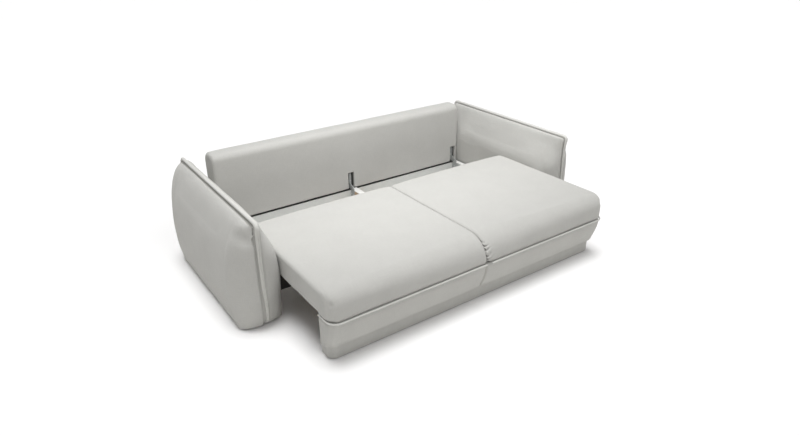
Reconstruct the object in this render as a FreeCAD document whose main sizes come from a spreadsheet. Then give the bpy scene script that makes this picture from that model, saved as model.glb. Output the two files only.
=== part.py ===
import FreeCAD, Part
import math
import os
import re

# Sofa bed: two pillow arms on a timber base, a seat that pulls out on rollers, and a back that
# folds forward through a quarter turn to lie level with the seat.
# Millimetres. x runs along the sofa, y from the front to the back, z up from the floor.
# While the pieces are built, y is 0 at the front line of the arms where they meet the floor.

# Driving sizes

SIZES = {
    "arm_gap": 2006,
    "arm_width": 247,
    "arm_depth": 1045,
    "arm_height": 642,
    "arm_shoulder": 270,
    "arm_side_bulge": 14,
    "arm_foot_draw": 13,
    "arm_front_bulge": 86,
    "arm_rear_bulge": 92,
    "seam_full_share": 0.7,
    "seam_foot_share": 0.75,
    "seam_top_share": 0.28,
    "inner_turn_foot": 12,
    "inner_turn_top": 50,
    "outer_turn_foot": 66,
    "outer_turn_top": 80,
    "inner_full_foot": 0.62,
    "inner_full_top": 0.74,
    "outer_full_foot": 0.80,
    "outer_full_top": 0.74,
    "arm_ridge_width": 22,
    "welt_width": 20,
    "welt_bend": 24,
    "arm_pad": 15,
    "arm_outer_pad": 40,
    "arm_end_pad": 50,
    "arm_frame_height": 440,
    "timber": 45,
    "board_thickness": 18,
    "glide_height": 6,
    "glide_width": 40,
    "glide_inset": 60,
    "seat_top": 404,
    "seat_thickness": 136,
    "seat_depth": 961,
    "seat_travel": 490,
    "seat_crown": 6,
    "nose_split_radius": 138,
    "nose_end_radius": 66,
    "seat_corner": 55,
    "seat_edge": 18,
    "side_clearance": 5,
    "closing_gap": 4,
    "cushion_wall": 12,
    "split_gap": 2,
    "frame_rail": 33,
    "slat_thickness": 12,
    "slat_width": 60,
    "piping_height": 253,
    "piping_width": 10,
    "panel_bottom": 83,
    "panel_tuck": 52,
    "panel_belly": 11,
    "front_depth": 150,
    "front_board": 25,
    "plinth_setback": 60,
    "plinth_end_setback": 20,
    "plinth_lift": 4,
    "plinth_top": 80,
    "plinth_board": 22,
    "plinth_round": 46,
    "roller_radius": 25,
    "roller_width": 22,
    "roller_tread": 6,
    "roller_draft": 2,
    "roller_bore_clearance": 0.05,
    "axle_radius": 4,
    "bracket_steel": 2.5,
    "bracket_play": 1,
    "roller_inner": 300,
    "roller_inset": 106,
    "back_front": 930,
    "back_thickness": 145,
    "back_height": 465.5,
    "back_round": 48,
    "back_end_round": 22,
    "back_pad": 19,
    "back_rail": 35,
    "back_rail_height": 60,
    "back_frame_lift": 10,
    "back_frame_margin": 23,
    "fold_gap": 10,
    "overcut": 5,
    "slot_width": 50,
    "slot_height": 125,
    "slot_play": 5,
    "slot_lead_side": 30,
    "slot_lead_centre": 18,
    "beam_top": 201.5,
    "beam_board": 35,
    "beam_rear_gap": 22,
    "beam_bottom": 30,
    "beam_end_gap": 8,
    "lining": 1.5,
    "block_inset": 95,
    "buffer_height": 10,
    "buffer_width": 30,
    "rest_gap": 0.5,
    "rest_setback": 64,
    "rail_width": 35,
    "rail_top": 206.5,
    "rail_bottom": 60,
    "rail_gap": 13,
    "rail_rear_gap": 2,
    "rail_front": 200,
    "centre_width": 44,
    "centre_shift": 10,
    "strip_thickness": 5.5,
    "skid_width": 22,
    "pin_radius": 4,
    "pin_clearance": 0.05,
    "pin_head": 3,
    "pin_head_rim": 3,
    "rivet_head": 1.5,
    "rivet_rim": 1,
    "hinge_steel": 3,
    "arm_steel": 4,
    "hinge_play": 0.3,
    "eye_radius": 14,
    "neck_height": 44,
    "plate_side_length": 128,
    "plate_centre_length": 48,
    "plate_depth": 56.5,
    "plate_screw_share": 0.2,
    "plate_turn_share": 0.3,
    "flange_width": 20,
    "flange_lift": 8,
    "flange_screw_lift": 22,
    "flange_screw_pitch": 36,
    "screw_radius": 2,
    "screw_length": 22,
    "screw_head_radius": 4.5,
    "screw_head": 2.5,
    "bolt_radius": 4,
    "bolt_head_radius": 8,
    "bolt_head": 5,
    "bolt_height": 130,
    "bolt_setback": 20,
    "bolt_pitch": 220,
}

# Places worked out from the driving sizes, each in the frame given above

PLACES = {
    "arm_inner": "arm_gap / 2",
    "arm_middle": "arm_inner + arm_width / 2",
    "frame_inner": "arm_inner + arm_pad",
    "frame_posts": "frame_inner + board_thickness",
    "frame_outer": "arm_inner + arm_width - arm_outer_pad",
    "frame_front": "arm_end_pad",
    "frame_rear": "arm_depth - arm_end_pad",
    "seat_half": "arm_inner - side_clearance",
    "seat_rear": "back_front - closing_gap - seat_travel",
    "seat_front": "seat_rear - seat_depth",
    "seat_under": "seat_top - seat_thickness",
    "slat_bottom": "seat_under + frame_rail",
    "slat_top": "slat_bottom + slat_thickness",
    "front_rear": "seat_front + front_depth",
    "front_face": "front_rear - front_board",
    "plinth_front": "seat_front + plinth_setback",
    "plinth_half": "seat_half - plinth_end_setback",
    "sole_bottom": "plinth_top - board_thickness",
    "roller_place": "(plinth_front + plinth_board + front_rear) / 2",
    "roller_outer": "plinth_half - plinth_board - roller_inset",
    "back_bottom": "beam_top + buffer_height",
    "back_top": "back_bottom + back_height",
    "back_rear": "back_front + back_thickness",
    "back_core": "back_front + back_pad",
    "back_core_rear": "back_core + back_rail",
    "back_core_bottom": "back_bottom + back_frame_lift",
    "back_core_top": "back_top - back_rail",
    "back_core_half": "seat_half - back_frame_margin",
    "pivot_reach": "seat_rear + fold_gap + back_top",
    "pivot_rise": "seat_top - back_thickness - back_front",
    "pivot_y": "(pivot_reach - pivot_rise) / 2",
    "pivot_z": "(pivot_reach + pivot_rise) / 2",
    "folded_under": "pivot_z + back_front - pivot_y",
    "beam_face": "back_front + lining",
    "beam_inner": "beam_face + beam_board",
    "beam_rear": "back_rear - beam_rear_gap",
    "beam_rear_inner": "beam_rear - board_thickness",
    "beam_half": "arm_inner - beam_end_gap",
    "rail_out": "arm_inner - rail_gap",
    "rail_in": "rail_out - rail_width",
    "rail_rear": "back_front - rail_rear_gap",
    "rest_front": "seat_rear + rest_setback",
    "strip_top": "rail_top + strip_thickness",
    "centre_left": "centre_shift - centre_width / 2",
    "centre_right": "centre_shift + centre_width / 2",
    "centre_front": "rail_front + front_board",
}

doc = FreeCAD.newDocument("sofa_bed")


def make_sheet(name):
    """An empty spreadsheet of the document."""
    return doc.addObject("Spreadsheet::Sheet", name)


def put(sheet, row, name, text):
    """One named cell: its name in column A and its value or formula in column B."""
    sheet.set(f"A{row}", name)
    sheet.set(f"B{row}", text)
    sheet.setAlias(f"B{row}", name)


def with_sheet(text, own=""):
    """A formula with each name led by the sheet that holds it, except the formula's own sheet."""

    def lead(found):
        word = found.group(0)
        holder = "Sizes" if word in SIZES else "Places"
        return word if holder == own else f"{holder}.{word}"

    return re.sub(r"[a-z][a-z_]*", lead, text)


sizes = make_sheet("Sizes")
for row, (name, value) in enumerate(SIZES.items(), start=1):
    put(sizes, row, name, str(value))
places = make_sheet("Places")
for row, (name, text) in enumerate(PLACES.items(), start=1):
    put(places, row, name, "=" + with_sheet(text, "Places"))
doc.recompute()


def mm(name):
    """The value of a driving size or of a place."""
    holder = sizes if name in SIZES else places
    return float(holder.get(name))


def vec(x, y, z):
    """A point or a direction."""
    return FreeCAD.Vector(x, y, z)


# Making and placing sub-parts

MIDDLE_ROW = len(PLACES) + 1
parts = []


def keep(item, label):
    """Give an object its node name and list it for writing."""
    item.Label = label
    parts.append(item)
    return item


def bind(item, prop, text):
    """Tie a property to a formula of named sizes."""
    item.setExpression(prop, with_sheet(text))


def block(label, x, y, z):
    """A box between pairs of formulas along x, y and z."""
    item = doc.addObject("Part::Box", label)
    for prop, (low, high) in (("Length", x), ("Width", y), ("Height", z)):
        bind(item, prop, f"({high}) - ({low})")
    bind(item, "Placement.Base.x", x[0])
    bind(item, "Placement.Base.y", f"({y[0]}) - middle")
    bind(item, "Placement.Base.z", z[0])
    return item


def board(label, x, y, z):
    """A plain rectangular piece, kept as a node."""
    return keep(block(label, x, y, z), label)


def drilled(label, x, y, z, tool):
    """A rectangular piece with another piece's room cut out of it."""
    item = doc.addObject("Part::Cut", label)
    item.Base = block(label + "_blank", x, y, z)
    item.Tool = tool
    return keep(item, label)


def shaped(label, shape):
    """A piece whose shape is worked out here, moved from the building frame to the sofa's own."""
    item = doc.addObject("Part::Feature", label)
    item.Shape = shape
    item.Placement = FreeCAD.Placement(vec(0, -mm("middle"), 0), FreeCAD.Rotation())
    return keep(item, label)


def mirrored_x(shape):
    """The same piece for the other end of the sofa."""
    return shape.mirror(vec(0, 0, 0), vec(1, 0, 0))


def room(x, y, z):
    """A box shape between two limits along each axis, in the building frame."""
    return Part.makeBox(x[1] - x[0], y[1] - y[0], z[1] - z[0], vec(x[0], y[0], z[0]))


def line(start, end):
    """A straight edge."""
    return Part.LineSegment(start, end).toShape()


def arc(start, through, end):
    """A round edge through three points."""
    return Part.Arc(start, through, end).toShape()


# Arm covers: plan sections stacked up the arm, drawn in at the floor and closing to the ridge


def seam_bulge(height, most):
    """How far the end seam stands out past the foot of the arm at a height."""
    fullest = mm("seam_full_share") * mm("arm_height")
    if height < fullest:
        return most * (1 - mm("seam_foot_share") * ((fullest - height) / fullest) ** 2)
    above = (height - fullest) / (mm("arm_height") - fullest)
    return most * (1 - mm("seam_top_share") * above ** 2)


def between(low, high, share):
    """A value part of the way from one named size to another."""
    return mm(low) + (mm(high) - mm(low)) * share


def arm_section(height, inner_half, outer_half):
    """The outline of the right arm's cover in plan at a height."""
    middle = mm("arm_middle")
    inner = middle - inner_half
    outer = middle + outer_half
    lift = min(1, height / mm("arm_shoulder"))
    front = -seam_bulge(height, mm("arm_front_bulge"))
    rear = mm("arm_depth") + seam_bulge(height, mm("arm_rear_bulge"))
    inner_start = between("inner_turn_foot", "inner_turn_top", lift)
    outer_start = between("outer_turn_foot", "outer_turn_top", lift)
    inner_full = between("inner_full_foot", "inner_full_top", lift)
    outer_full = between("outer_full_foot", "outer_full_top", lift)

    def corner(side, start, seam, full):
        return vec(middle + (side - middle) * full, start + (seam - start) * full, height)

    front_in = vec(inner, inner_start, height)
    front_seam = vec(middle, front, height)
    front_out = vec(outer, outer_start, height)
    rear_out = vec(outer, mm("arm_depth") - outer_start, height)
    rear_seam = vec(middle, rear, height)
    rear_in = vec(inner, mm("arm_depth") - inner_start, height)
    return Part.Wire([
        arc(front_in, corner(inner, inner_start, front, inner_full), front_seam),
        arc(front_seam, corner(outer, outer_start, front, outer_full), front_out),
        line(front_out, rear_out),
        arc(rear_out, corner(outer, rear_out.y, rear, outer_full), rear_seam),
        arc(rear_seam, corner(inner, rear_in.y, rear, inner_full), rear_in),
        line(rear_in, front_in),
    ])


def arm_pillow():
    """The whole padded form of the right arm, with no room for what it holds."""
    inner_half = mm("arm_width") / 2
    outer_half = inner_half + mm("arm_side_bulge")
    shoulder = mm("arm_shoulder")
    sections = []
    for share in (0, 1 / 3, 2 / 3):
        height = max(mm("glide_height"), shoulder * share)
        draw = mm("arm_foot_draw") * (1 - height / shoulder) ** 2
        sections.append(arm_section(height, inner_half, outer_half - draw))
    for degrees in (0, 15, 30, 45, 60, 75, 81):
        turn = math.radians(degrees)
        height = shoulder + (mm("arm_height") - shoulder) * math.sin(turn)
        ridge = mm("arm_ridge_width") / 2
        inside = ridge + (inner_half - ridge) * math.cos(turn)
        outside = ridge + (outer_half - ridge) * math.cos(turn)
        sections.append(arm_section(height, inside, outside))
    return Part.makeLoft(sections, True, False)


def welt_end(foot_line, way, most):
    """One end of the welt's line from its foot: the long seam, then the bend to the ridge."""
    x = mm("arm_middle")
    top = mm("arm_height")
    foot = mm("glide_height") + mm("welt_width")
    bend = top - mm("welt_bend")

    def seam(height):
        return vec(x, foot_line + way * seam_bulge(height, most), height)

    rise = Part.Arc(seam(foot), seam((foot + bend) / 2), seam(bend))
    heading = rise.tangent(rise.LastParameter)[0]
    if heading.z < 0:
        heading = heading * -1
    lean = math.asin(-way * heading.y / heading.Length)
    radius = (top - bend) / (1 - math.sin(lean))
    centre = seam(bend) + vec(0, -way * math.cos(lean), -math.sin(lean)) * radius
    half = (lean + math.pi / 2) / 2
    middle = centre + vec(0, way * math.cos(half), math.sin(half)) * radius
    return [seam(foot), seam((foot + bend) / 2), seam(bend), middle, centre + vec(0, 0, radius)]


def welt_path():
    """The line of the arm's sewn welt: up the front, along the ridge and down the rear."""
    front = welt_end(0, -1, mm("arm_front_bulge"))
    rear = welt_end(mm("arm_depth"), 1, mm("arm_rear_bulge"))
    return Part.Wire([
        arc(front[0], front[1], front[2]),
        arc(front[2], front[3], front[4]),
        line(front[4], rear[4]),
        arc(rear[4], rear[3], rear[2]),
        arc(rear[2], rear[1], rear[0]),
    ])


def tube(path, radius):
    """A round solid that follows a smooth path."""
    first = path.OrderedEdges[0]
    start = first.valueAt(first.FirstParameter)
    ring = Part.Wire([Part.Circle(start, first.tangentAt(first.FirstParameter), radius).toShape()])
    return path.makePipeShell([ring], True, False)


def bolt_lines():
    """Where the arm bolts go through a side rail, along y, the middle one ahead of a rest post."""
    middle = mm("rest_front") - mm("bolt_setback")
    return [middle + mm("bolt_pitch") * step for step in (-1, 0, 1)]


def arm_bolt(y):
    """One bolt from the side rail's inner face into the right arm's board, with its nut."""
    z = mm("bolt_height")
    start = mm("rail_in") - mm("bolt_head")
    end = mm("frame_posts") + 2 * mm("bolt_head")
    along = vec(1, 0, 0)
    head = Part.makeCylinder(mm("bolt_head_radius"), mm("bolt_head"), vec(start, y, z), along)
    shank = Part.makeCylinder(mm("bolt_radius"), end - start, vec(start, y, z), along)
    nut = Part.makeCylinder(
        mm("bolt_head_radius"), mm("bolt_head"), vec(mm("frame_posts"), y, z), along)
    return head.fuse([shank, nut]).removeSplitter()


def arm_spacer(y):
    """The sleeve on a bolt between the side rail and the right arm."""
    start = vec(mm("rail_out"), y, mm("bolt_height"))
    length = mm("arm_inner") - mm("rail_out")
    sleeve = Part.makeCylinder(mm("bolt_head_radius"), length, start, vec(1, 0, 0))
    return sleeve.cut(Part.makeCylinder(mm("bolt_radius"), length, start, vec(1, 0, 0)))


def both_ends(shapes):
    """The shapes and their mirror images at the other end of the sofa."""
    return list(shapes) + [mirrored_x(shape) for shape in shapes]


pillow = arm_pillow()
welt = tube(welt_path(), mm("welt_width") / 2)
arm_core = room(
    (mm("frame_inner"), mm("frame_outer")),
    (mm("frame_front"), mm("frame_rear")),
    (0, mm("arm_frame_height")),
)
bolts = [arm_bolt(y) for y in bolt_lines()]
spacers = [arm_spacer(y) for y in bolt_lines()]
arm_cover = pillow.cut([welt, arm_core] + bolts + spacers)

# Soft seat: profiles across the sofa, with a rounded nose, a crown and a rounded outer corner

CORNER_SHARES = (0, 0.1, 0.45, 1)


def stations(half, corner, edge):
    """Distances in from the outer end, then from the split, where a soft profile is drawn."""
    outer = [corner * share for share in CORNER_SHARES]
    middle = [half * share for share in (0.2, 0.4, 0.6, 0.8)]
    inner = [half - edge, half - edge * 0.3, half]
    return outer + middle + inner


def setback(distance, radius):
    """How far a rounded corner of a radius stands back at a distance from its end."""
    if distance >= radius:
        return 0
    return radius - math.sqrt(radius ** 2 - (radius - distance) ** 2)


def seat_profile(x, nose, back_set, top_set):
    """The seat cushion's outline across the sofa at x, with its nose's radius there."""
    rear = mm("seat_rear")
    under = mm("seat_under")
    top = mm("seat_top") - top_set
    front = mm("seat_front") + back_set
    low = mm("piping_height")
    edge = mm("seat_edge")
    short = 1 - math.sqrt(0.5)
    return Part.Wire([
        line(vec(x, rear, under), vec(x, rear, top - edge)),
        arc(vec(x, rear, top - edge), vec(x, rear - edge * short, top - edge * short),
            vec(x, rear - edge, top)),
        line(vec(x, rear - edge, top), vec(x, front + nose, top)),
        arc(vec(x, front + nose, top), vec(x, front + nose * short, top - nose * short),
            vec(x, front, top - nose)),
        line(vec(x, front, top - nose), vec(x, front, low)),
        line(vec(x, front, low), vec(x, mm("front_face"), low)),
        line(vec(x, mm("front_face"), low), vec(x, mm("front_face"), under)),
        line(vec(x, mm("front_face"), under), vec(x, rear, under)),
    ])


def seat_form():
    """The right seat cushion's padded form."""
    half = mm("seat_half") - mm("split_gap") / 2
    sections = []
    for distance in stations(half, mm("seat_corner"), mm("seat_edge")):
        from_split = half - distance
        back_set = setback(distance, mm("seat_corner")) + setback(from_split, mm("seat_edge") / 2)
        drop = setback(distance, mm("seat_edge")) + setback(from_split, mm("seat_edge")) / 2
        crown = mm("seat_crown") * (1 - (2 * distance / half - 1) ** 2)
        nose = between("nose_end_radius", "nose_split_radius", distance / half)
        sections.append(seat_profile(mm("seat_half") - distance, nose, back_set, drop - crown))
    return Part.makeLoft(sections, True, True)


def panel_profile(x, back_set):
    """The lower front panel's outline across the sofa at x."""
    top = mm("piping_height")
    bottom = mm("panel_bottom")
    front = mm("seat_front") + back_set
    rear = mm("front_face")
    belly = vec(x, front + mm("panel_tuck") / 2 - mm("panel_belly"), (top + bottom) / 2)
    return Part.Wire([
        line(vec(x, rear, bottom), vec(x, rear, top)),
        line(vec(x, rear, top), vec(x, front, top)),
        arc(vec(x, front, top), belly, vec(x, front + mm("panel_tuck"), bottom)),
        line(vec(x, front + mm("panel_tuck"), bottom), vec(x, rear, bottom)),
    ])


def panel_form():
    """The right lower front panel's padded form."""
    half = mm("seat_half") - mm("split_gap") / 2
    sections = []
    for distance in stations(half, mm("seat_corner"), mm("seat_edge")):
        from_split = half - distance
        back_set = setback(distance, mm("seat_corner")) + setback(from_split, mm("seat_edge") / 2)
        sections.append(panel_profile(mm("seat_half") - distance, back_set))
    return Part.makeLoft(sections, True, True)


def piping_path():
    """The line of the right piping: along the front edge, round the corner and back."""
    z = mm("piping_height")
    front = mm("seat_front")
    side = mm("seat_half") - mm("piping_width") / 4
    corner = mm("seat_corner")
    near = mm("split_gap") / 2 + mm("piping_width") / 2
    slant = corner * (1 - math.sqrt(0.5))
    return Part.Wire([
        line(vec(near, front, z), vec(side - corner, front, z)),
        arc(vec(side - corner, front, z), vec(side - slant, front + slant, z),
            vec(side, front + corner, z)),
        line(vec(side, front + corner, z), vec(side, mm("front_face"), z)),
    ])


piping = tube(piping_path(), mm("piping_width") / 2)
seat_core = room(
    (0, mm("seat_half") - mm("cushion_wall")),
    (mm("front_face"), mm("seat_rear") - mm("cushion_wall")),
    (mm("seat_under") - mm("overcut"), mm("slat_top")),
)
seat_cushion = seat_form().cut([seat_core, piping])
front_panel = panel_form().cut(piping)

# Back: one padded slab with soft top edges, open for its frame and slotted for the hinge arms


def back_profile(x, inset):
    """The back's outline across the sofa at x, drawn in by an inset at its ends."""
    front = mm("back_front") + inset * 0.5
    rear = mm("back_rear") - inset * 0.5
    bottom = mm("back_bottom")
    top = mm("back_top") - inset
    soft = mm("back_round")
    short = soft * (1 - math.sqrt(0.5))
    return Part.Wire([
        line(vec(x, front, bottom), vec(x, front, top - soft)),
        arc(vec(x, front, top - soft), vec(x, front + short, top - short),
            vec(x, front + soft, top)),
        line(vec(x, front + soft, top), vec(x, rear - soft, top)),
        arc(vec(x, rear - soft, top), vec(x, rear - short, top - short),
            vec(x, rear, top - soft)),
        line(vec(x, rear, top - soft), vec(x, rear, bottom)),
        line(vec(x, rear, bottom), vec(x, front, bottom)),
    ])


def back_form():
    """The back's padded form over its whole width."""
    half = mm("seat_half")
    soft = mm("back_end_round")
    near = [soft * share for share in CORNER_SHARES]
    xs = [distance - half for distance in near] + [0] + [half - distance for distance in near[::-1]]
    sections = [back_profile(x, setback(half - abs(x), soft)) for x in xs]
    return Part.makeLoft(sections, True, True)


def slot_room(low):
    """The slot in the back's front and bottom that a hinge arm goes into, from its lower x."""
    return room(
        (low, low + mm("slot_width")),
        (mm("back_front") - mm("overcut"), mm("back_core")),
        (mm("back_bottom") - mm("overcut"), mm("back_bottom") + mm("slot_height")),
    )


back_core = room(
    (-mm("back_core_half"), mm("back_core_half")),
    (mm("back_core"), mm("back_core_rear")),
    (mm("back_core_bottom"), mm("back_core_top")),
)
side_slot = slot_room(mm("rail_in") - mm("slot_lead_side"))
slots = [side_slot, mirrored_x(side_slot), slot_room(mm("centre_left") - mm("slot_lead_centre"))]
back_cover = back_form().cut([back_core] + slots)

# The sofa's own frame: origin on the floor, under the middle of its whole depth

front_reach = piping.optimalBoundingBox(False).YMin
rear_reach = welt.optimalBoundingBox(False).YMax
put(places, MIDDLE_ROW, "middle", str((front_reach + rear_reach) / 2))
doc.recompute()

# Fixings that other pieces are drilled for


def screw(place, along):
    """A round-head screw: its head stands on the surface at place and its shank goes in."""
    head = Part.makeCylinder(mm("screw_head_radius"), mm("screw_head"), place, along * -1)
    shank = Part.makeCylinder(mm("screw_radius"), mm("screw_length"), place, along)
    return head.fuse(shank).removeSplitter()


def plate_screw_places(length):
    """The two screws of a hinge plate, one near each end, along y and z."""
    inset = length * mm("plate_screw_share")
    z = mm("rail_top") - mm("plate_depth") / 2
    return [(mm("rail_rear") - length + inset, z), (mm("rail_rear") - inset, z)]


def plate_screws():
    """The screws through the three hinge plates into the rails."""
    side_face = mm("rail_in") - mm("hinge_steel")
    side = [
        screw(vec(side_face, y, z), vec(1, 0, 0))
        for y, z in plate_screw_places(mm("plate_side_length"))
    ]
    centre_face = mm("centre_left") - mm("hinge_steel")
    centre = [
        screw(vec(centre_face, y, z), vec(1, 0, 0))
        for y, z in plate_screw_places(mm("plate_centre_length"))
    ]
    return both_ends(side) + centre


def flange_screws():
    """The screws through the hinge arms' flanges into the back's posts and bottom rail."""
    face = mm("back_core") - mm("arm_steel")
    web = mm("hinge_steel") + mm("hinge_play")
    side = mm("rail_in") - web - mm("flange_width") / 2
    centre = mm("centre_left") - web - mm("arm_steel") + mm("flange_width") / 2
    found = []
    first = mm("back_bottom") + mm("flange_screw_lift")
    for x in (-side, centre, side):
        for number in range(3):
            z = first + mm("flange_screw_pitch") * number
            found.append(screw(vec(x, face, z), vec(0, 1, 0)))
    return found


bolt_group = shaped("arm_fixings", Part.makeCompound(both_ends(bolts + spacers)))
plate_group = shaped("plate_screws", Part.makeCompound(plate_screws()))
flange_group = shaped("flange_screws", Part.makeCompound(flange_screws()))
base_fixings = doc.addObject("Part::Compound", "base_fixings")
base_fixings.Links = [bolt_group, plate_group]

# Arms: cover, welt and the timber frame inside

shaped("arm_cover_right", arm_cover)
shaped("arm_cover_left", mirrored_x(arm_cover))
shaped("arm_welt_right", welt)
shaped("arm_welt_left", mirrored_x(welt))


def span(side, low, high):
    """A pair of formulas along x, for the right end or mirrored to the left end."""
    return (low, high) if side == "right" else (f"-({high})", f"-({low})")


for side in ("left", "right"):
    wide = span(side, "frame_posts", "frame_outer")
    low_rail = "glide_height + timber"
    high_rail = "arm_frame_height - timber"
    drilled(
        f"arm_board_{side}",
        span(side, "frame_inner", "frame_posts"),
        ("frame_front", "frame_rear"),
        ("glide_height", "arm_frame_height"),
        bolt_group,
    )
    board(f"arm_front_post_{side}", wide, ("frame_front", "frame_front + timber"),
          (low_rail, high_rail))
    board(f"arm_rear_post_{side}", wide, ("frame_rear - timber", "frame_rear"),
          (low_rail, high_rail))
    board(f"arm_top_rail_{side}", wide, ("frame_front", "frame_rear"),
          (high_rail, "arm_frame_height"))
    board(f"arm_bottom_rail_{side}", wide, ("frame_front", "frame_rear"),
          ("glide_height", low_rail))

# Base between the arms: a rear box beam, two side rails, a centre rail and a front cross rail

board("rear_cross_rail", ("-beam_half", "beam_half"), ("beam_face", "beam_inner"),
      ("beam_bottom", "beam_top - lining"))
board("rear_board", ("-beam_half", "beam_half"), ("beam_rear_inner", "beam_rear"),
      ("beam_bottom", "beam_top"))

lining_front = room(
    (-mm("beam_half"), mm("beam_half")),
    (mm("back_front"), mm("beam_inner")),
    (mm("beam_bottom"), mm("beam_top")),
)
lining_inside = room(
    (-mm("beam_half"), mm("beam_half")),
    (mm("beam_face"), mm("beam_inner")),
    (mm("beam_bottom"), mm("beam_top") - mm("lining")),
)
shaped("rear_lining", lining_front.cut(lining_inside))

for side in ("left", "right"):
    drilled(
        f"side_rail_{side}",
        span(side, "rail_in", "rail_out"),
        ("rail_front", "back_front"),
        ("rail_bottom", "rail_top"),
        base_fixings,
    )
drilled("centre_rail", ("centre_left", "centre_right"), ("centre_front", "back_front"),
        ("rail_bottom", "rail_top"), plate_group)
board("front_cross_rail", ("-rail_in", "rail_in"), ("rail_front", "centre_front"),
      ("rail_bottom", "rail_top - plinth_board"))


def strip(x, start):
    """A plastic slide strip on top of a rail, over a pair of limits along x."""
    return room(x, (start, mm("rail_rear")), (mm("rail_top"), mm("strip_top")))


side_strip = strip((mm("rail_in"), mm("rail_out")), mm("rail_front"))
centre_strip = strip((mm("centre_left"), mm("centre_right")), mm("centre_front"))
shaped("slide_strips", Part.makeCompound(
    [side_strip, mirrored_x(side_strip), centre_strip]))

# Upright blocks that stand on the floor glides: four in the rear beam, one under the centre
# rail's front end and two that the folded back comes down on

rear_block_reach = mm("beam_half") - mm("block_inset")
rear_block_xs = [rear_block_reach * (2 * number / 3 - 1) for number in range(4)]
rear_block_y = (mm("beam_inner"), mm("beam_rear_inner"))
rest_y = (mm("rest_front"), mm("rest_front") + mm("timber"))
rest_top = mm("folded_under") - mm("rest_gap") - mm("buffer_height")
rest_x = mm("rail_in") - mm("timber") / 2
centre_foot_y = (mm("centre_front"), mm("centre_front") + mm("timber"))


def upright(x, y, top):
    """A timber block about x, from a floor glide's top to a height."""
    half = mm("timber") / 2
    return room((x - half, x + half), y, (mm("glide_height"), top))


blocks = [upright(x, rear_block_y, mm("beam_top")) for x in rear_block_xs]
rests = [upright(x, rest_y, rest_top) for x in (-rest_x, rest_x)]
centre_foot = upright(mm("centre_shift"), centre_foot_y, mm("rail_bottom"))
shaped("support_blocks", Part.makeCompound(blocks + rests + [centre_foot]))


def buffer_pad(x, y, z):
    """A rubber pad on top of a block."""
    return Part.makeCylinder(mm("buffer_width") / 2, mm("buffer_height"), vec(x, y, z))


rear_pad_y = sum(rear_block_y) / 2
rest_pad_y = sum(rest_y) / 2
rear_pads = [buffer_pad(x, rear_pad_y, mm("beam_top")) for x in rear_block_xs]
rest_pads = [buffer_pad(x, rest_pad_y, rest_top) for x in (-rest_x, rest_x)]
shaped("backrest_buffers", Part.makeCompound(rear_pads + rest_pads))


def floor_glide(x, y):
    """A plastic glide with a bevelled foot, its flat on the floor."""
    height = mm("glide_height")
    radius = mm("glide_width") / 2
    bevel = height / 3
    foot = Part.makeCone(radius - bevel, radius, bevel, vec(x, y, 0))
    body = Part.makeCylinder(radius, height - bevel, vec(x, y, bevel))
    return foot.fuse(body).removeSplitter()


arm_glide_x = (mm("frame_posts") + mm("frame_outer")) / 2
arm_glides = [
    floor_glide(arm_glide_x, y)
    for y in (mm("frame_front") + mm("glide_inset"), mm("frame_rear") - mm("glide_inset"))
]
block_glides = [floor_glide(x, rear_pad_y) for x in rear_block_xs]
block_glides += [floor_glide(x, rest_pad_y) for x in (-rest_x, rest_x)]
block_glides.append(floor_glide(mm("centre_shift"), sum(centre_foot_y) / 2))
shaped("floor_glides", Part.makeCompound(both_ends(arm_glides) + block_glides))

# Hinges: a plate on each rail, a shoulder pin, and a cranked arm that turns on the pin


def origin_plane(body, role):
    """One of a body's own origin planes."""
    return next(item for item in body.Origin.OriginFeatures if item.Role == role)


def sketch_on(body, name, role, edges):
    """A sketch on one of the body's origin planes, holding the given curves."""
    sketch = body.newObject("Sketcher::SketchObject", name)
    sketch.AttachmentSupport = [(origin_plane(body, role), "")]
    sketch.MapMode = "FlatFace"
    for edge in edges:
        sketch.addGeometry(edge, False)
    return sketch


def flat_line(start, end):
    """A straight stretch of a sketch."""
    return Part.LineSegment(vec(start[0], start[1], 0), vec(end[0], end[1], 0))


def flat_arc(centre, radius, start, end):
    """A round stretch of a sketch about a centre, between two angles in degrees."""
    circle = Part.Circle(vec(centre[0], centre[1], 0), vec(0, 0, 1), radius)
    return Part.ArcOfCircle(circle, math.radians(start), math.radians(end))


def round_hole(place, radius):
    """A full circle of a sketch."""
    return Part.Circle(vec(place[0], place[1], 0), vec(0, 0, 1), radius)


def pad(body, sketch, formula, reverse):
    """A pad of a sketch by a formula, to one side of its plane."""
    feature = body.newObject("PartDesign::Pad", "Pad")
    feature.Profile = sketch
    bind(feature, "Length", formula)
    feature.Reversed = reverse
    sketch.Visibility = False
    return feature


def hinge_body(label, x):
    """An empty body whose own origin lies on the hinge axis at x."""
    body = doc.addObject("PartDesign::Body", label)
    bind(body, "Placement.Base.x", x)
    bind(body, "Placement.Base.y", "pivot_y - middle")
    bind(body, "Placement.Base.z", "pivot_z")
    return keep(body, label)


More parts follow.
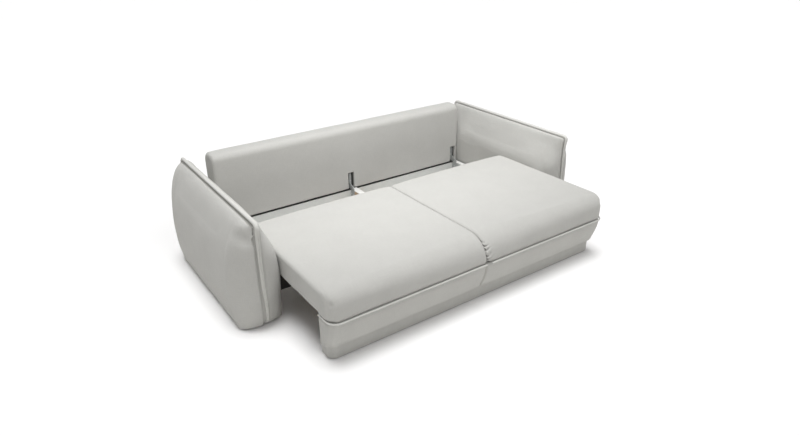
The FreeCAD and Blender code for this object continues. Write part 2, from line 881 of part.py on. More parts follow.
def hinge_plate(label, x, length_name, reverse):
    """A fixed plate on a rail's face, with an ear that rises to hold the pin."""
    eye = mm("eye_radius")
    rear = mm("rail_rear") - mm("pivot_y")
    front = rear - mm(length_name)
    top = mm("rail_top") - mm("pivot_z")
    bottom = top - mm("plate_depth")
    turn = (-eye - front) * mm("plate_turn_share")
    holes = [
        round_hole((y - mm("pivot_y"), z - mm("pivot_z")), mm("screw_radius"))
        for y, z in plate_screw_places(mm(length_name))
    ]
    outline = [
        flat_line((front + turn, bottom), (rear, bottom)),
        flat_line((rear, bottom), (rear, top)),
        flat_line((rear, top), (eye, top)),
        flat_line((eye, top), (eye, 0)),
        flat_arc((0, 0), eye, 0, 180),
        flat_line((-eye, 0), (-eye, top)),
        flat_line((-eye, top), (front + turn, top)),
        flat_arc((front + turn, top - turn), turn, 90, 180),
        flat_line((front, top - turn), (front, bottom + turn)),
        flat_arc((front + turn, bottom + turn), turn, 180, 270),
        round_hole((0, 0), mm("pin_radius")),
    ]
    body = hinge_body(label, x)
    sketch = sketch_on(body, label + "_outline", "YZ_Plane", outline + holes)
    pad(body, sketch, "hinge_steel", reverse)


def hinge_arm(label, x, reverse, flange_reverse):
    """A cranked arm: an eye on the pin, a web up into the back's slot and a screwed flange."""
    eye = mm("eye_radius")
    back = mm("back_core") - mm("pivot_y")
    front = mm("back_front") + mm("slot_play") - mm("pivot_y")
    low = mm("back_bottom") + mm("slot_play") - mm("pivot_z")
    high = low + mm("slot_height") - 3 * mm("slot_play")
    neck = low + mm("neck_height")
    outline = [
        flat_line((0, -eye), (back, low)),
        flat_line((back, low), (back, high)),
        flat_line((back, high), (front, high)),
        flat_line((front, high), (front, neck)),
        flat_line((front, neck), (0, eye)),
        flat_arc((0, 0), eye, 90, 270),
        round_hole((0, 0), mm("pin_radius") + mm("pin_clearance")),
    ]
    body = hinge_body(label, x)
    web = sketch_on(body, label + "_web", "YZ_Plane", outline)
    pad(body, web, "arm_steel", reverse)
    flange_low = low + mm("flange_lift")
    steel = mm("arm_steel")
    bar = [
        flat_line((back - steel, flange_low), (back, flange_low)),
        flat_line((back, flange_low), (back, high)),
        flat_line((back, high), (back - steel, high)),
        flat_line((back - steel, high), (back - steel, flange_low)),
    ]
    flange = sketch_on(body, label + "_flange", "YZ_Plane", bar)
    pad(body, flange, "flange_width", flange_reverse)
    doc.recompute()
    return body


hinge_plate("hinge_plate_right", "rail_in", "plate_side_length", True)
hinge_plate("hinge_plate_left", "-rail_in", "plate_side_length", False)
hinge_plate("hinge_plate_centre", "centre_left", "plate_centre_length", True)
doc.recompute()


def pin_and_arm_places():
    """Each hinge: its rail face along x, and the way from the rail to the arm."""
    return [(-mm("rail_in"), 1), (mm("centre_left"), -1), (mm("rail_in"), -1)]


def hinge_pin(face, way):
    """A shoulder pin through a hinge arm and its plate, headed at both ends."""
    along = vec(way, 0, 0)
    place = vec(face, mm("pivot_y"), mm("pivot_z"))
    reach = mm("hinge_steel") + mm("arm_steel") + 2 * mm("hinge_play")
    radius = mm("pin_radius")
    thin = mm("rivet_head")
    rivet = Part.makeCylinder(radius + mm("rivet_rim"), thin, place - along * thin, along)
    shank = Part.makeCylinder(radius, reach, place, along)
    head = Part.makeCylinder(
        radius + mm("pin_head_rim"), mm("pin_head"), place + along * reach, along)
    return rivet.fuse([shank, head]).removeSplitter()


shaped("hinge_pins", Part.makeCompound(
    [hinge_pin(face, way) for face, way in pin_and_arm_places()]))

# Back: cover, timber frame and hinge arms

shaped("backrest_cover", back_cover)
for label, low, high in (
    ("backrest_bottom_rail", "back_core_bottom", "back_core_bottom + back_rail_height"),
    ("backrest_top_rail", "back_core_top - back_rail_height", "back_core_top"),
):
    drilled(label, ("-back_core_half", "back_core_half"), ("back_core", "back_core_rear"),
            (low, high), flange_group)


def back_post(x):
    """An upright of the back's frame about x, between its two rails, drilled for the screws."""
    low = mm("back_core_bottom") + mm("back_rail_height")
    high = mm("back_core_top") - mm("back_rail_height")
    half = mm("back_rail_height") / 2
    post = room((x - half, x + half), (mm("back_core"), mm("back_core_rear")), (low, high))
    return post.cut(flange_screws())


post_side = mm("back_core_half") - mm("back_rail_height") / 2
shaped("backrest_posts", Part.makeCompound([back_post(x) for x in (-post_side, 0, post_side)]))


def drill_arm(body, label):
    """The hinge arm with its flange drilled for the screws."""
    cut = doc.addObject("Part::Cut", label + "_drilled")
    cut.Base = body
    cut.Tool = flange_group
    parts.remove(body)
    body.Label = label + "_blank"
    keep(cut, label)


arm_gap_x = "hinge_steel + hinge_play"
for label, x, reverse, flange_reverse in (
    ("hinge_arm_left", f"-rail_in + {arm_gap_x}", False, False),
    ("hinge_arm_centre", f"centre_left - ({arm_gap_x}) - arm_steel", False, False),
    ("hinge_arm_right", f"rail_in - ({arm_gap_x})", True, True),
):
    drill_arm(hinge_arm(label, x, reverse, flange_reverse), label)

# Seat: covers, piping, timber frame, slats and the front unit that stands on rollers

shaped("seat_cushion_right", seat_cushion)
shaped("seat_cushion_left", mirrored_x(seat_cushion))
shaped("front_panel_right", front_panel)
shaped("front_panel_left", mirrored_x(front_panel))
shaped("seat_piping_right", piping)
shaped("seat_piping_left", mirrored_x(piping))

seat_core_x = ("cushion_wall - seat_half", "seat_half - cushion_wall")
seat_rail_z = ("seat_under", "slat_bottom")
board("seat_front_rail", seat_core_x, ("front_face", "front_face + timber"), seat_rail_z)
board("seat_rear_rail", seat_core_x,
      ("seat_rear - cushion_wall - timber", "seat_rear - cushion_wall"), seat_rail_z)

cross_y = (mm("front_face") + mm("timber"), mm("seat_rear") - mm("cushion_wall") - mm("timber"))
cross_side = mm("seat_half") - mm("cushion_wall") - mm("timber") / 2


def cross_rail(x):
    """A timber between the seat's front and rear rails, about x."""
    half = mm("timber") / 2
    return room((x - half, x + half), cross_y, (mm("seat_under"), mm("slat_bottom")))


shaped("seat_cross_rails", Part.makeCompound([cross_rail(x) for x in (-cross_side, 0, cross_side)]))

SLATS_EACH_SIDE = 6


def slat(x):
    """A slat that lies across the seat's front and rear rails, about x."""
    half = mm("slat_width") / 2
    y = (mm("front_face"), mm("seat_rear") - mm("cushion_wall"))
    return room((x - half, x + half), y, (mm("slat_bottom"), mm("slat_top")))


slat_pitch = (mm("seat_half") - mm("cushion_wall")) / SLATS_EACH_SIDE
slat_xs = [slat_pitch * (number + 0.5) for number in range(SLATS_EACH_SIDE)]
shaped("seat_slats", Part.makeCompound(both_ends([slat(x) for x in slat_xs])))

board("front_board", ("-plinth_half", "plinth_half"), ("front_face", "front_rear"),
      ("plinth_top", "seat_under"))

# Plinth: a straight front board between two ends bent round the corners, and the sole within


def level_piece(inset, bottom):
    """A level piece up to the plinth's top, with rounded front corners, inset from its outline."""
    half = mm("plinth_half") - inset
    front = mm("plinth_front") + inset
    rear = mm("front_rear")
    corner = mm("plinth_round") - inset
    slant = corner * (1 - math.sqrt(0.5))
    z = mm(bottom)
    outline = Part.Wire([
        line(vec(-half, rear, z), vec(-half, front + corner, z)),
        arc(vec(-half, front + corner, z), vec(-half + slant, front + slant, z),
            vec(-half + corner, front, z)),
        line(vec(-half + corner, front, z), vec(half - corner, front, z)),
        arc(vec(half - corner, front, z), vec(half - slant, front + slant, z),
            vec(half, front + corner, z)),
        line(vec(half, front + corner, z), vec(half, rear, z)),
        line(vec(half, rear, z), vec(-half, rear, z)),
    ])
    return Part.Face(outline).extrude(vec(0, 0, mm("plinth_top") - z))


plinth = level_piece(0, "plinth_lift").cut(level_piece(mm("plinth_board"), "plinth_lift"))
plinth_straight = room(
    (mm("plinth_round") - mm("plinth_half"), mm("plinth_half") - mm("plinth_round")),
    (mm("plinth_front"), mm("plinth_front") + mm("plinth_board")),
    (mm("plinth_lift"), mm("plinth_top")),
)
shaped("plinth_front", plinth_straight)
shaped("plinth_ends", plinth.cut(plinth_straight))
shaped("front_sole", level_piece(mm("plinth_board"), "sole_bottom"))


def skid(x):
    """A glide block under the seat's rear rail, about x, on its slide strip."""
    half = mm("skid_width") / 2
    rear = mm("seat_rear") - mm("cushion_wall")
    return room((x - half, x + half), (rear - mm("timber"), rear),
                (mm("strip_top"), mm("seat_under")))


skid_x = (mm("rail_in") + mm("rail_out")) / 2
shaped("seat_glides", Part.makeCompound([skid(x) for x in (-skid_x, mm("centre_shift"), skid_x)]))

# Rollers, each in a steel fork on its own axle, behind the plinth

roller_xs = [-mm("roller_outer"), -mm("roller_inner"), mm("roller_inner"), mm("roller_outer")]


def roller_fork(x):
    """A bent steel fork under the sole, drilled for its axle."""
    steel = mm("bracket_steel")
    gap = mm("roller_width") / 2 + mm("bracket_play")
    radius = mm("roller_radius")
    y = mm("roller_place")
    depth = radius * 0.8
    top = mm("sole_bottom")
    low = radius - 2.5 * mm("axle_radius")
    plate = room((x - gap - steel, x + gap + steel), (y - depth, y + depth), (top - steel, top))
    cheeks = [
        room((left, left + steel), (y - depth / 2, y + depth / 2), (low, top - steel))
        for left in (x - gap - steel, x + gap)
    ]
    bore = Part.makeCylinder(mm("axle_radius"), 4 * gap, vec(x - 2 * gap, y, radius), vec(1, 0, 0))
    return plate.fuse(cheeks).removeSplitter().cut(bore)


def roller_axle(x):
    """An axle across a fork, with a head at each end."""
    gap = mm("roller_width") / 2 + mm("bracket_play") + mm("bracket_steel")
    start = vec(x - gap, mm("roller_place"), mm("roller_radius"))
    along = vec(1, 0, 0)
    head = mm("axle_radius") / 2
    shank = Part.makeCylinder(mm("axle_radius"), 2 * gap, start, along)
    near = Part.makeCylinder(mm("axle_radius") + head, head, start - along * head, along)
    far = Part.makeCylinder(mm("axle_radius") + head, head, start + along * 2 * gap, along)
    return shank.fuse([near, far]).removeSplitter()


shaped("roller_brackets", Part.makeCompound([roller_fork(x) for x in roller_xs]))
shaped("roller_axles", Part.makeCompound([roller_axle(x) for x in roller_xs]))


def roller(label, x):
    """A plastic roller turned about its bore, with a bevelled tread."""
    bore = mm("axle_radius") + mm("roller_bore_clearance")
    radius = mm("roller_radius")
    half = mm("roller_width") / 2
    bevel = mm("roller_width") / 8
    hub = radius * 0.5
    waist = half * 0.7
    draft = mm("roller_draft")
    rim = radius - mm("roller_tread")
    corners = [
        (-half, bore), (half, bore), (half, hub), (waist, hub + draft), (waist, rim),
        (half, rim + draft), (half, radius - bevel), (half - bevel, radius),
        (bevel - half, radius), (-half, radius - bevel), (-half, rim + draft),
        (-waist, rim), (-waist, hub + draft), (-half, hub),
    ]
    edges = [flat_line(a, b) for a, b in zip(corners, corners[1:] + corners[:1])]
    body = doc.addObject("PartDesign::Body", label)
    sketch = sketch_on(body, label + "_half_section", "XY_Plane", edges)
    turned = body.newObject("PartDesign::Revolution", label + "_turned")
    turned.Profile = sketch
    turned.ReferenceAxis = (sketch, ["H_Axis"])
    turned.Angle = 360
    sketch.Visibility = False
    body.Placement.Base = vec(x, mm("roller_place") - mm("middle"), radius)
    keep(body, label)


for number, x in enumerate(roller_xs, start=1):
    roller(f"roller_{number}", x)

# Checks and writing

doc.recompute()
for item in doc.Objects:
    if {"Invalid", "Error"} & set(item.State):
        raise RuntimeError(f"{item.Label} failed: {item.State}")
for item in parts:
    if item.Shape.isNull() or not item.Shape.isValid():
        raise RuntimeError(f"{item.Label} has no valid shape")
    if not item.Shape.Solids:
        raise RuntimeError(f"{item.Label} holds no solid")

os.makedirs("parts", exist_ok=True)
for item in parts:
    item.Shape.exportStep(f"parts/{item.Label}.step")
print(len(parts), "sub-parts written, middle at", mm("middle"))
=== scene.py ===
import bpy
import math
from mathutils import Matrix, Vector, noise

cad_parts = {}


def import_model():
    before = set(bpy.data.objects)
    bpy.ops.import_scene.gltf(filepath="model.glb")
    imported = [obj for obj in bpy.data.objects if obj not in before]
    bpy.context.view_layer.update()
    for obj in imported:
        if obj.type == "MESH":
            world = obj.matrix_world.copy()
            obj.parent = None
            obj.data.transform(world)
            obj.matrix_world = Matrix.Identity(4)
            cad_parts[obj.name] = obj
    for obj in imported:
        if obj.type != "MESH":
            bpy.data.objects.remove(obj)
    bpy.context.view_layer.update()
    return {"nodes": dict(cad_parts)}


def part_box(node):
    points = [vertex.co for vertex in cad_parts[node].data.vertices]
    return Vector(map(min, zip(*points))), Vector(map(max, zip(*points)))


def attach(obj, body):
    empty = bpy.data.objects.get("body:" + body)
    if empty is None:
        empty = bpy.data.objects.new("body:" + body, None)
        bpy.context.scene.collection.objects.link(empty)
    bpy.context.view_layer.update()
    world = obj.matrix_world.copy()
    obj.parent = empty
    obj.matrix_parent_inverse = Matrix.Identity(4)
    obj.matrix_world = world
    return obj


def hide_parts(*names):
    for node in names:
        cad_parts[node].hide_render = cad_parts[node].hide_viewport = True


# Sofa bed with its seat pulled out: padded arms with a rolled welt, a two-part seat with a rounded
# front, a folding back on steel hinges and the timber rails that the seat slides on.
# Metres. x runs along the sofa, y from the seat's front to the back, z up from the floor.

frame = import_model()

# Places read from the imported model

arm_low, arm_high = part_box("arm_cover_right")
welt_low, welt_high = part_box("arm_welt_right")
seat_low, seat_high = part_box("seat_cushion_right")
panel_low, panel_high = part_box("front_panel_right")
piping_low, piping_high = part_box("seat_piping_right")
back_low, back_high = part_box("backrest_cover")
slats_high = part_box("seat_slats")[1]
rear_rail_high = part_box("seat_rear_rail")[1]
front_rail_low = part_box("seat_front_rail")[0]
frame_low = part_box("arm_board_right")[0]
frame_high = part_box("arm_top_rail_right")[1]
back_frame_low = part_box("backrest_bottom_rail")[0]
back_frame_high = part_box("backrest_top_rail")[1]
side_rail_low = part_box("side_rail_right")[0]
centre_rail_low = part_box("centre_rail")[0]
lining_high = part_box("rear_lining")[1]

MILLIMETRE = 0.001
SEAM_X = (welt_low.x + welt_high.x) / 2
WELT_RADIUS = (welt_high.x - welt_low.x) / 2
RIDGE_Z = welt_high.z - WELT_RADIUS
PIPING_RADIUS = (piping_high.z - piping_low.z) / 2
PIPING_Z = (piping_high.z + piping_low.z) / 2
SEAT_FRONT = panel_low.y
ROOM_OVERRUN = 0.02
FAR = 9

# Working steps


def pick(*pieces):
    """Selects these objects alone; the first is the active one."""
    bpy.ops.object.select_all(action="DESELECT")
    for piece in pieces:
        piece.select_set(True)
    bpy.context.view_layer.objects.active = pieces[0]


def open_mesh(piece, choose="SELECT"):
    """Starts edit mode on a piece with all or none of it selected."""
    pick(piece)
    bpy.ops.object.mode_set(mode="EDIT")
    bpy.ops.mesh.select_all(action=choose)


def close_mesh():
    """Ends edit mode."""
    bpy.ops.object.mode_set(mode="OBJECT")


def worked(piece, kind, **settings):
    """Adds one modifier with its settings and applies it."""
    pick(piece)
    modifier = piece.modifiers.new(kind.lower(), kind)
    for name, value in settings.items():
        setattr(modifier, name, value)
    bpy.ops.object.modifier_apply(modifier=modifier.name)


def named(piece, name):
    """Gives an object and its mesh their name."""
    piece.name = name
    piece.data.name = name
    return piece


def block(name, low, high):
    """A box between two corners."""
    low = Vector(low)
    high = Vector(high)
    bpy.ops.object.select_all(action="DESELECT")
    bpy.ops.mesh.primitive_cube_add(size=1, location=(low + high) / 2, scale=high - low)
    bpy.ops.object.transform_apply(location=True, rotation=True, scale=True)
    return named(bpy.context.object, name)


def copied(name, node):
    """A new object with a copy of a CAD node's mesh, its loose triangles joined."""
    piece = bpy.data.objects.new(name, frame["nodes"][node].data.copy())
    bpy.context.collection.objects.link(piece)
    piece.data.name = name
    piece.data.materials.clear()
    open_mesh(piece)
    bpy.ops.mesh.remove_doubles(threshold=0.01 * MILLIMETRE)
    close_mesh()
    return piece


def mirrored(piece, name):
    """The same piece for the other end of the sofa, with its faces still outwards."""
    twin = piece.copy()
    twin.data = piece.data.copy()
    bpy.context.collection.objects.link(twin)
    named(twin, name)
    twin.data.transform(Matrix.Scale(-1, 4, (1, 0, 0)))
    twin.data.flip_normals()
    return twin


def smooth(piece, degrees=40):
    """Smooth shading with an edge kept where the surface turns more than an angle."""
    pick(piece)
    bpy.ops.object.shade_smooth_by_angle(angle=math.radians(degrees))


# Padding: a blank from the CAD form, filled like a stuffed cover, then cut for its frame

FILLER_LAP = 4 * MILLIMETRE
FILLING_FRAMES = 20
EASING_ROUNDS = 40


def blank(name, node, rooms, grain):
    """The closed outer form of a padded node, in even quads, with its rooms filled in."""
    piece = copied(name, node)
    lap = Vector((1, 1, 1)) * FILLER_LAP
    fillers = [block("filler", Vector(low) - lap, Vector(high) + lap) for low, high in rooms]
    pick(piece, *fillers)
    bpy.ops.object.join()
    piece.data.remesh_voxel_size = grain
    piece.data.use_remesh_fix_poles = False
    bpy.ops.object.voxel_remesh()
    return piece


def eased(piece, values, fixed, rounds):
    """Values at a piece's points, evened out with their neighbours, 0 at the fixed points."""
    pairs = [tuple(edge.vertices) for edge in piece.data.edges]
    for _ in range(rounds):
        sums = [0.0] * len(values)
        counts = [0] * len(values)
        for first, second in pairs:
            sums[first] += values[second]
            sums[second] += values[first]
            counts[first] += 1
            counts[second] += 1
        values = [
            0.0 if still else (value + total / max(count, 1)) / 2
            for value, total, count, still in zip(values, sums, counts, fixed)
        ]
    return values


def stuffed(piece, held, pressure, most):
    """Fills a cover: cloth under pressure, held at its seams, moving no further than a limit."""
    seams = piece.vertex_groups.new(name="seams")
    seams.add([point.index for point in piece.data.vertices if held(point.co)], 1.0, "REPLACE")
    filling = piece.modifiers.new("filling", "CLOTH")
    cloth = filling.settings
    cloth.quality = 5
    cloth.mass = 0.3
    cloth.tension_stiffness = 12
    cloth.compression_stiffness = 12
    cloth.shear_stiffness = 6
    cloth.bending_stiffness = 0.6
    cloth.use_pressure = True
    cloth.uniform_pressure_force = pressure
    cloth.effector_weights.gravity = 0
    cloth.vertex_group_mass = "seams"
    scene = bpy.context.scene
    for number in range(1, FILLING_FRAMES + 1):
        scene.frame_set(number)
    filled = piece.evaluated_get(bpy.context.evaluated_depsgraph_get())
    places = [point.co.copy() for point in filled.data.vertices]
    piece.modifiers.remove(filling)
    piece.vertex_groups.clear()
    scene.frame_set(1)
    points = piece.data.vertices
    normals = [point.normal.copy() for point in points]
    fixed = [held(point.co) for point in points]
    swells = [
        max((place - point.co).dot(normal), 0.0)
        for point, place, normal in zip(points, places, normals)
    ]
    swells = eased(piece, swells, fixed, EASING_ROUNDS)
    for point, swell, normal in zip(points, swells, normals):
        point.co += normal * (most * math.tanh(swell / most))
    piece.data.update()


def moved(piece, change):
    """Moves every point of a piece by a rule that takes its place and its normal."""
    points = piece.data.vertices
    shifts = [change(point.co.copy(), point.normal.copy()) for point in points]
    for point, shift in zip(points, shifts):
        point.co += shift
    piece.data.update()


def kept_within(piece, low, high):
    """Presses flat what stands past the padding's own room."""
    for point in piece.data.vertices:
        for axis in range(3):
            point.co[axis] = min(max(point.co[axis], low[axis]), high[axis])
    piece.data.update()


def refined(piece, chosen, cuts=1):
    """Divides the faces whose middle is in a chosen region."""
    open_mesh(piece, "DESELECT")
    close_mesh()
    for face in piece.data.polygons:
        face.select = chosen(face.center)
    pick(piece)
    bpy.ops.object.mode_set(mode="EDIT")
    bpy.ops.mesh.select_mode(type="FACE")
    bpy.ops.mesh.subdivide(number_cuts=cuts, smoothness=0.6)
    close_mesh()


def cut_for(piece, rooms):
    """Cuts rooms out of a finished piece."""
    for low, high in rooms:
        tool = block("room", low, high)
        worked(piece, "BOOLEAN", operation="DIFFERENCE", object=tool, solver="EXACT")
        bpy.data.objects.remove(tool)


def soft_waves(height, length, shift=0.0):
    """A rule for the slow unevenness of padding under a cover."""

    def change(place, normal):
        spot = place / length + Vector((shift, shift * 0.7, shift * 1.3))
        return normal * (height * noise.noise(spot))

    return change


def share_of(value):
    """0 below 0, 1 above 1 and the value itself between."""
    return min(max(value, 0.0), 1.0)


def eased_step(value):
    """0 below 0, 1 above 1 and a soft rise between."""
    value = share_of(value)
    return value * value * (3 - 2 * value)


def bell(distance, width):
    """1 at a line and falling away smoothly over a width."""
    return math.exp(-(distance / width) ** 2)


# Finishes


def material(name):
    """A new material, its node tree and its main shader."""
    finish = bpy.data.materials.new(name)
    finish.use_nodes = True
    tree = finish.node_tree
    return finish, tree, tree.nodes["Principled BSDF"]


def add(tree, kind, inputs=(), **settings):
    """One node with its settings, and its inputs set or linked."""
    made = tree.nodes.new("ShaderNode" + kind)
    for name, value in settings.items():
        setattr(made, name, value)
    for name, value in dict(inputs).items():
        join(tree, value, made.inputs[name])
    return made


def join(tree, value, socket):
    """Links a socket to another node's output, or sets its value."""
    if isinstance(value, bpy.types.NodeSocket):
        tree.links.new(value, socket)
    else:
        socket.default_value = value


def maths(tree, operation, first, second=0.0):
    """The output of one Math node."""
    made = add(tree, "Math", operation=operation)
    join(tree, first, made.inputs[0])
    join(tree, second, made.inputs[1])
    return made.outputs[0]


def mapped(tree, source, scale):
    """Coordinates stretched by a scale along each axis."""
    made = add(tree, "Mapping", {"Vector": source})
    made.inputs["Scale"].default_value = scale
    return made.outputs["Vector"]


def speckle(tree, place, scale, detail=2.0, roughness=0.5):
    """The grey output of a noise texture."""
    made = add(tree, "TexNoise", {"Vector": place, "Scale": scale, "Detail": detail,
                                  "Roughness": roughness})
    return made.outputs["Fac"]


def blended(tree, share, first, second):
    """A colour between two colours."""
    made = add(tree, "Mix", data_type="RGBA")
    join(tree, share, made.inputs[0])
    join(tree, first, made.inputs[6])
    join(tree, second, made.inputs[7])
    return made.outputs[2]


def raised(tree, height, distance, strength=1.0, under=None):
    """A bump from a grey height, over another bump."""
    made = add(tree, "Bump", {"Height": height, "Distance": distance, "Strength": strength})
    if under is not None:
        tree.links.new(under, made.inputs["Normal"])
    return made.outputs["Normal"]


def band_scale(pitch):
    """The wave texture's scale that sets its bands a pitch apart."""
    return 2 * math.pi / (20 * pitch)


def shade(colour, amount):
    """A colour made lighter or darker by a share."""
    return tuple(part * amount for part in colour[:3]) + (1.0,)


CLOTH_COLOUR = (0.520, 0.516, 0.492)
LINING_COLOUR = (0.640, 0.652, 0.630)
# Near-black painted shade: for shaded gaps, and the colour of dark cloth put on pieces that lie
# only in shade
PAINTED_SHADE_COLOUR = (0.040, 0.040, 0.038)
PINE_COLOUR = (0.530, 0.390, 0.250)
RAIL_PINE_COLOUR = (0.560, 0.410, 0.265)
PLYWOOD_COLOUR = (0.550, 0.425, 0.285)
YARN = 1.7 * MILLIMETRE
LINING_YARN = 0.9 * MILLIMETRE
PLY_THICKNESS = 3.2 * MILLIMETRE


def painted_shade_past(tree, colour, height, above):
    """The colour, painted near-black past a height as painted shade: over it, or else under it."""
    place = add(tree, "TexCoord").outputs["Object"]
    z = add(tree, "SeparateXYZ", {"Vector": place}).outputs["Z"]
    past = maths(tree, "GREATER_THAN" if above else "LESS_THAN", z, height)
    return blended(tree, past, colour, (*PAINTED_SHADE_COLOUR, 1.0))


def woven(name, colour, yarn=YARN, by_uv=True, depth=1.0, painted_shade_over=None, painted_shade_under=None):
    """Plain-woven upholstery cloth with uneven yarns, faint slubs and a soft sheen."""
    finish, tree, shader = material(name)
    source = add(tree, "TexCoord").outputs["UV" if by_uv else "Object"]
    drift = add(tree, "TexNoise", {"Vector": source, "Scale": 55.0, "Detail": 3.0})
    wander = add(tree, "VectorMath", operation="SCALE")
    tree.links.new(drift.outputs["Color"], wander.inputs[0])
    wander.inputs["Scale"].default_value = yarn * 0.9
    place = add(tree, "VectorMath", operation="ADD")
    tree.links.new(source, place.inputs[0])
    tree.links.new(wander.outputs["Vector"], place.inputs[1])
    turns = band_scale(2 * yarn)
    across = add(tree, "TexWave", {"Vector": place.outputs["Vector"], "Scale": turns},
                 bands_direction="X")
    along = add(tree, "TexWave", {"Vector": place.outputs["Vector"], "Scale": turns},
                bands_direction="Y")
    warp = maths(tree, "MULTIPLY_ADD", across.outputs["Fac"], 2.0)
    warp.node.inputs[2].default_value = -1.0
    weft = maths(tree, "MULTIPLY_ADD", along.outputs["Fac"], 2.0)
    weft.node.inputs[2].default_value = -1.0
    crossing = maths(tree, "MULTIPLY", warp, weft)
    weave = maths(tree, "ABSOLUTE", crossing)
    slub_across = speckle(tree, mapped(tree, source, (22.0, 420.0, 22.0)), 1.0, 3.0)
    slub_along = speckle(tree, mapped(tree, source, (420.0, 22.0, 420.0)), 1.0, 3.0)
    slubs = maths(tree, "ADD", slub_across, slub_along)
    patches = speckle(tree, source, 7.0, 4.0, 0.6)
    flecks = speckle(tree, source, 150.0, 3.0, 0.7)
    tone = maths(tree, "MULTIPLY", slubs, 0.35)
    tone = maths(tree, "ADD", tone, maths(tree, "MULTIPLY", patches, 0.25))
    tone = maths(tree, "ADD", tone, maths(tree, "MULTIPLY", flecks, 0.30))
    tone = maths(tree, "ADD", tone, maths(tree, "MULTIPLY", weave, 0.12))
    spread = add(tree, "MapRange", {"Value": tone, "From Min": 0.40, "From Max": 0.82})
    mixed = blended(tree, spread.outputs["Result"], shade(colour, 0.90), shade(colour, 1.07))
    if painted_shade_over is not None:
        mixed = painted_shade_past(tree, mixed, painted_shade_over, True)
    if painted_shade_under is not None:
        mixed = painted_shade_past(tree, mixed, painted_shade_under, False)
    tree.links.new(mixed, shader.inputs["Base Color"])
    coarse = raised(tree, flecks, 0.5 * MILLIMETRE * depth, 0.5)
    slubbed = raised(tree, slubs, 0.35 * MILLIMETRE * depth, 0.6, coarse)
    fine = raised(tree, weave, 0.45 * MILLIMETRE * depth, 0.8, slubbed)
    tree.links.new(fine, shader.inputs["Normal"])
    shader.inputs["Roughness"].default_value = 0.92
    shader.inputs["Specular IOR Level"].default_value = 0.22
    shader.inputs["Sheen Weight"].default_value = 0.18
    shader.inputs["Sheen Roughness"].default_value = 0.55
    return finish


def timber(name, colour, along, grain=1.0):
    """Planed softwood with its grain along one axis, end pores and a few darker streaks."""
    finish, tree, shader = material(name)
    source = add(tree, "TexCoord").outputs["Object"]
    stretch = [14.0, 14.0, 14.0]
    stretch[along] = 0.9
    place = mapped(tree, source, stretch)
    rings = add(tree, "TexWave", {"Vector": place, "Scale": 1.6 * grain, "Distortion": 5.5,
                                  "Detail": 3.0, "Detail Scale": 1.4},
                bands_direction="X" if along != 0 else "Y")
    fibre = [520.0, 520.0, 520.0]
    fibre[along] = 9.0
    fibres = speckle(tree, mapped(tree, source, fibre), 1.0, 4.0, 0.65)
    streak = speckle(tree, place, 2.2, 3.0)
    share = maths(tree, "MULTIPLY", rings.outputs["Fac"], 0.55)
    share = maths(tree, "ADD", share, maths(tree, "MULTIPLY", fibres, 0.35))
    mixed = blended(tree, share, shade(colour, 1.08), shade(colour, 0.72))
    final = blended(tree, maths(tree, "MULTIPLY", streak, 0.35), mixed,
                    (colour[0] * 0.66, colour[1] * 0.58, colour[2] * 0.5, 1.0))
    tree.links.new(final, shader.inputs["Base Color"])
    tree.links.new(raised(tree, fibres, 0.3 * MILLIMETRE, 0.5), shader.inputs["Normal"])
    shader.inputs["Roughness"].default_value = 0.62
    return finish


def layered(name, colour, across):
    """Plywood: pale faces with a fine grain and thin darker plies through its thickness."""
    finish, tree, shader = material(name)
    source = add(tree, "TexCoord").outputs["Object"]
    plies = add(tree, "TexWave", {"Vector": source, "Scale": band_scale(PLY_THICKNESS)},
                bands_direction="XYZ"[across])
    grain = speckle(tree, mapped(tree, source, (160.0, 6.0, 160.0)), 1.0, 4.0, 0.6)
    share = maths(tree, "ADD", maths(tree, "MULTIPLY", plies.outputs["Fac"], 0.3),
                  maths(tree, "MULTIPLY", grain, 0.6))
    mixed = blended(tree, share, shade(colour, 1.1), shade(colour, 0.7))
    tree.links.new(mixed, shader.inputs["Base Color"])
    tree.links.new(raised(tree, grain, 0.2 * MILLIMETRE, 0.4), shader.inputs["Normal"])
    shader.inputs["Roughness"].default_value = 0.6
    return finish


def moulded(name, colour, roughness=0.42, clean=0.93):
    """Moulded plastic or rubber with a fine spark-eroded grain and faint scuffs."""
    finish, tree, shader = material(name)
    source = add(tree, "TexCoord").outputs["Object"]
    grain = speckle(tree, source, 1400.0, 2.0)
    scuffs = speckle(tree, mapped(tree, source, (60.0, 14.0, 60.0)), 1.0, 5.0, 0.7)
    mixed = blended(tree, scuffs, shade(colour, clean), shade(colour, 2 - clean))
    tree.links.new(mixed, shader.inputs["Base Color"])
    rough = add(tree, "MapRange", {"Value": scuffs, "To Min": roughness - 0.06,
                                   "To Max": roughness + 0.12})
    tree.links.new(rough.outputs["Result"], shader.inputs["Roughness"])
    tree.links.new(raised(tree, grain, 0.05 * MILLIMETRE, 0.5), shader.inputs["Normal"])
    return finish


def plated(name, colour, roughness=0.38, metallic=0.85):
    """Zinc-plated sheet steel: soft spangle, faint rolling lines and dulled patches."""
    finish, tree, shader = material(name)
    source = add(tree, "TexCoord").outputs["Object"]
    spangle = add(tree, "TexVoronoi", {"Vector": source, "Scale": 170.0}).outputs["Color"]
    lines = speckle(tree, mapped(tree, source, (900.0, 900.0, 30.0)), 1.0, 3.0)
    dull = speckle(tree, source, 28.0, 4.0, 0.6)
    share = maths(tree, "ADD", maths(tree, "MULTIPLY", spangle, 0.3),
                  maths(tree, "MULTIPLY", dull, 0.5))
    mixed = blended(tree, share, shade(colour, 0.86), shade(colour, 1.1))
    tree.links.new(mixed, shader.inputs["Base Color"])
    rough = add(tree, "MapRange", {"Value": dull, "To Min": roughness - 0.08,
                                   "To Max": roughness + 0.16})
    tree.links.new(rough.outputs["Result"], shader.inputs["Roughness"])
    tree.links.new(raised(tree, lines, 0.04 * MILLIMETRE, 0.5), shader.inputs["Normal"])
    shader.inputs["Metallic"].default_value = metallic
    return finish


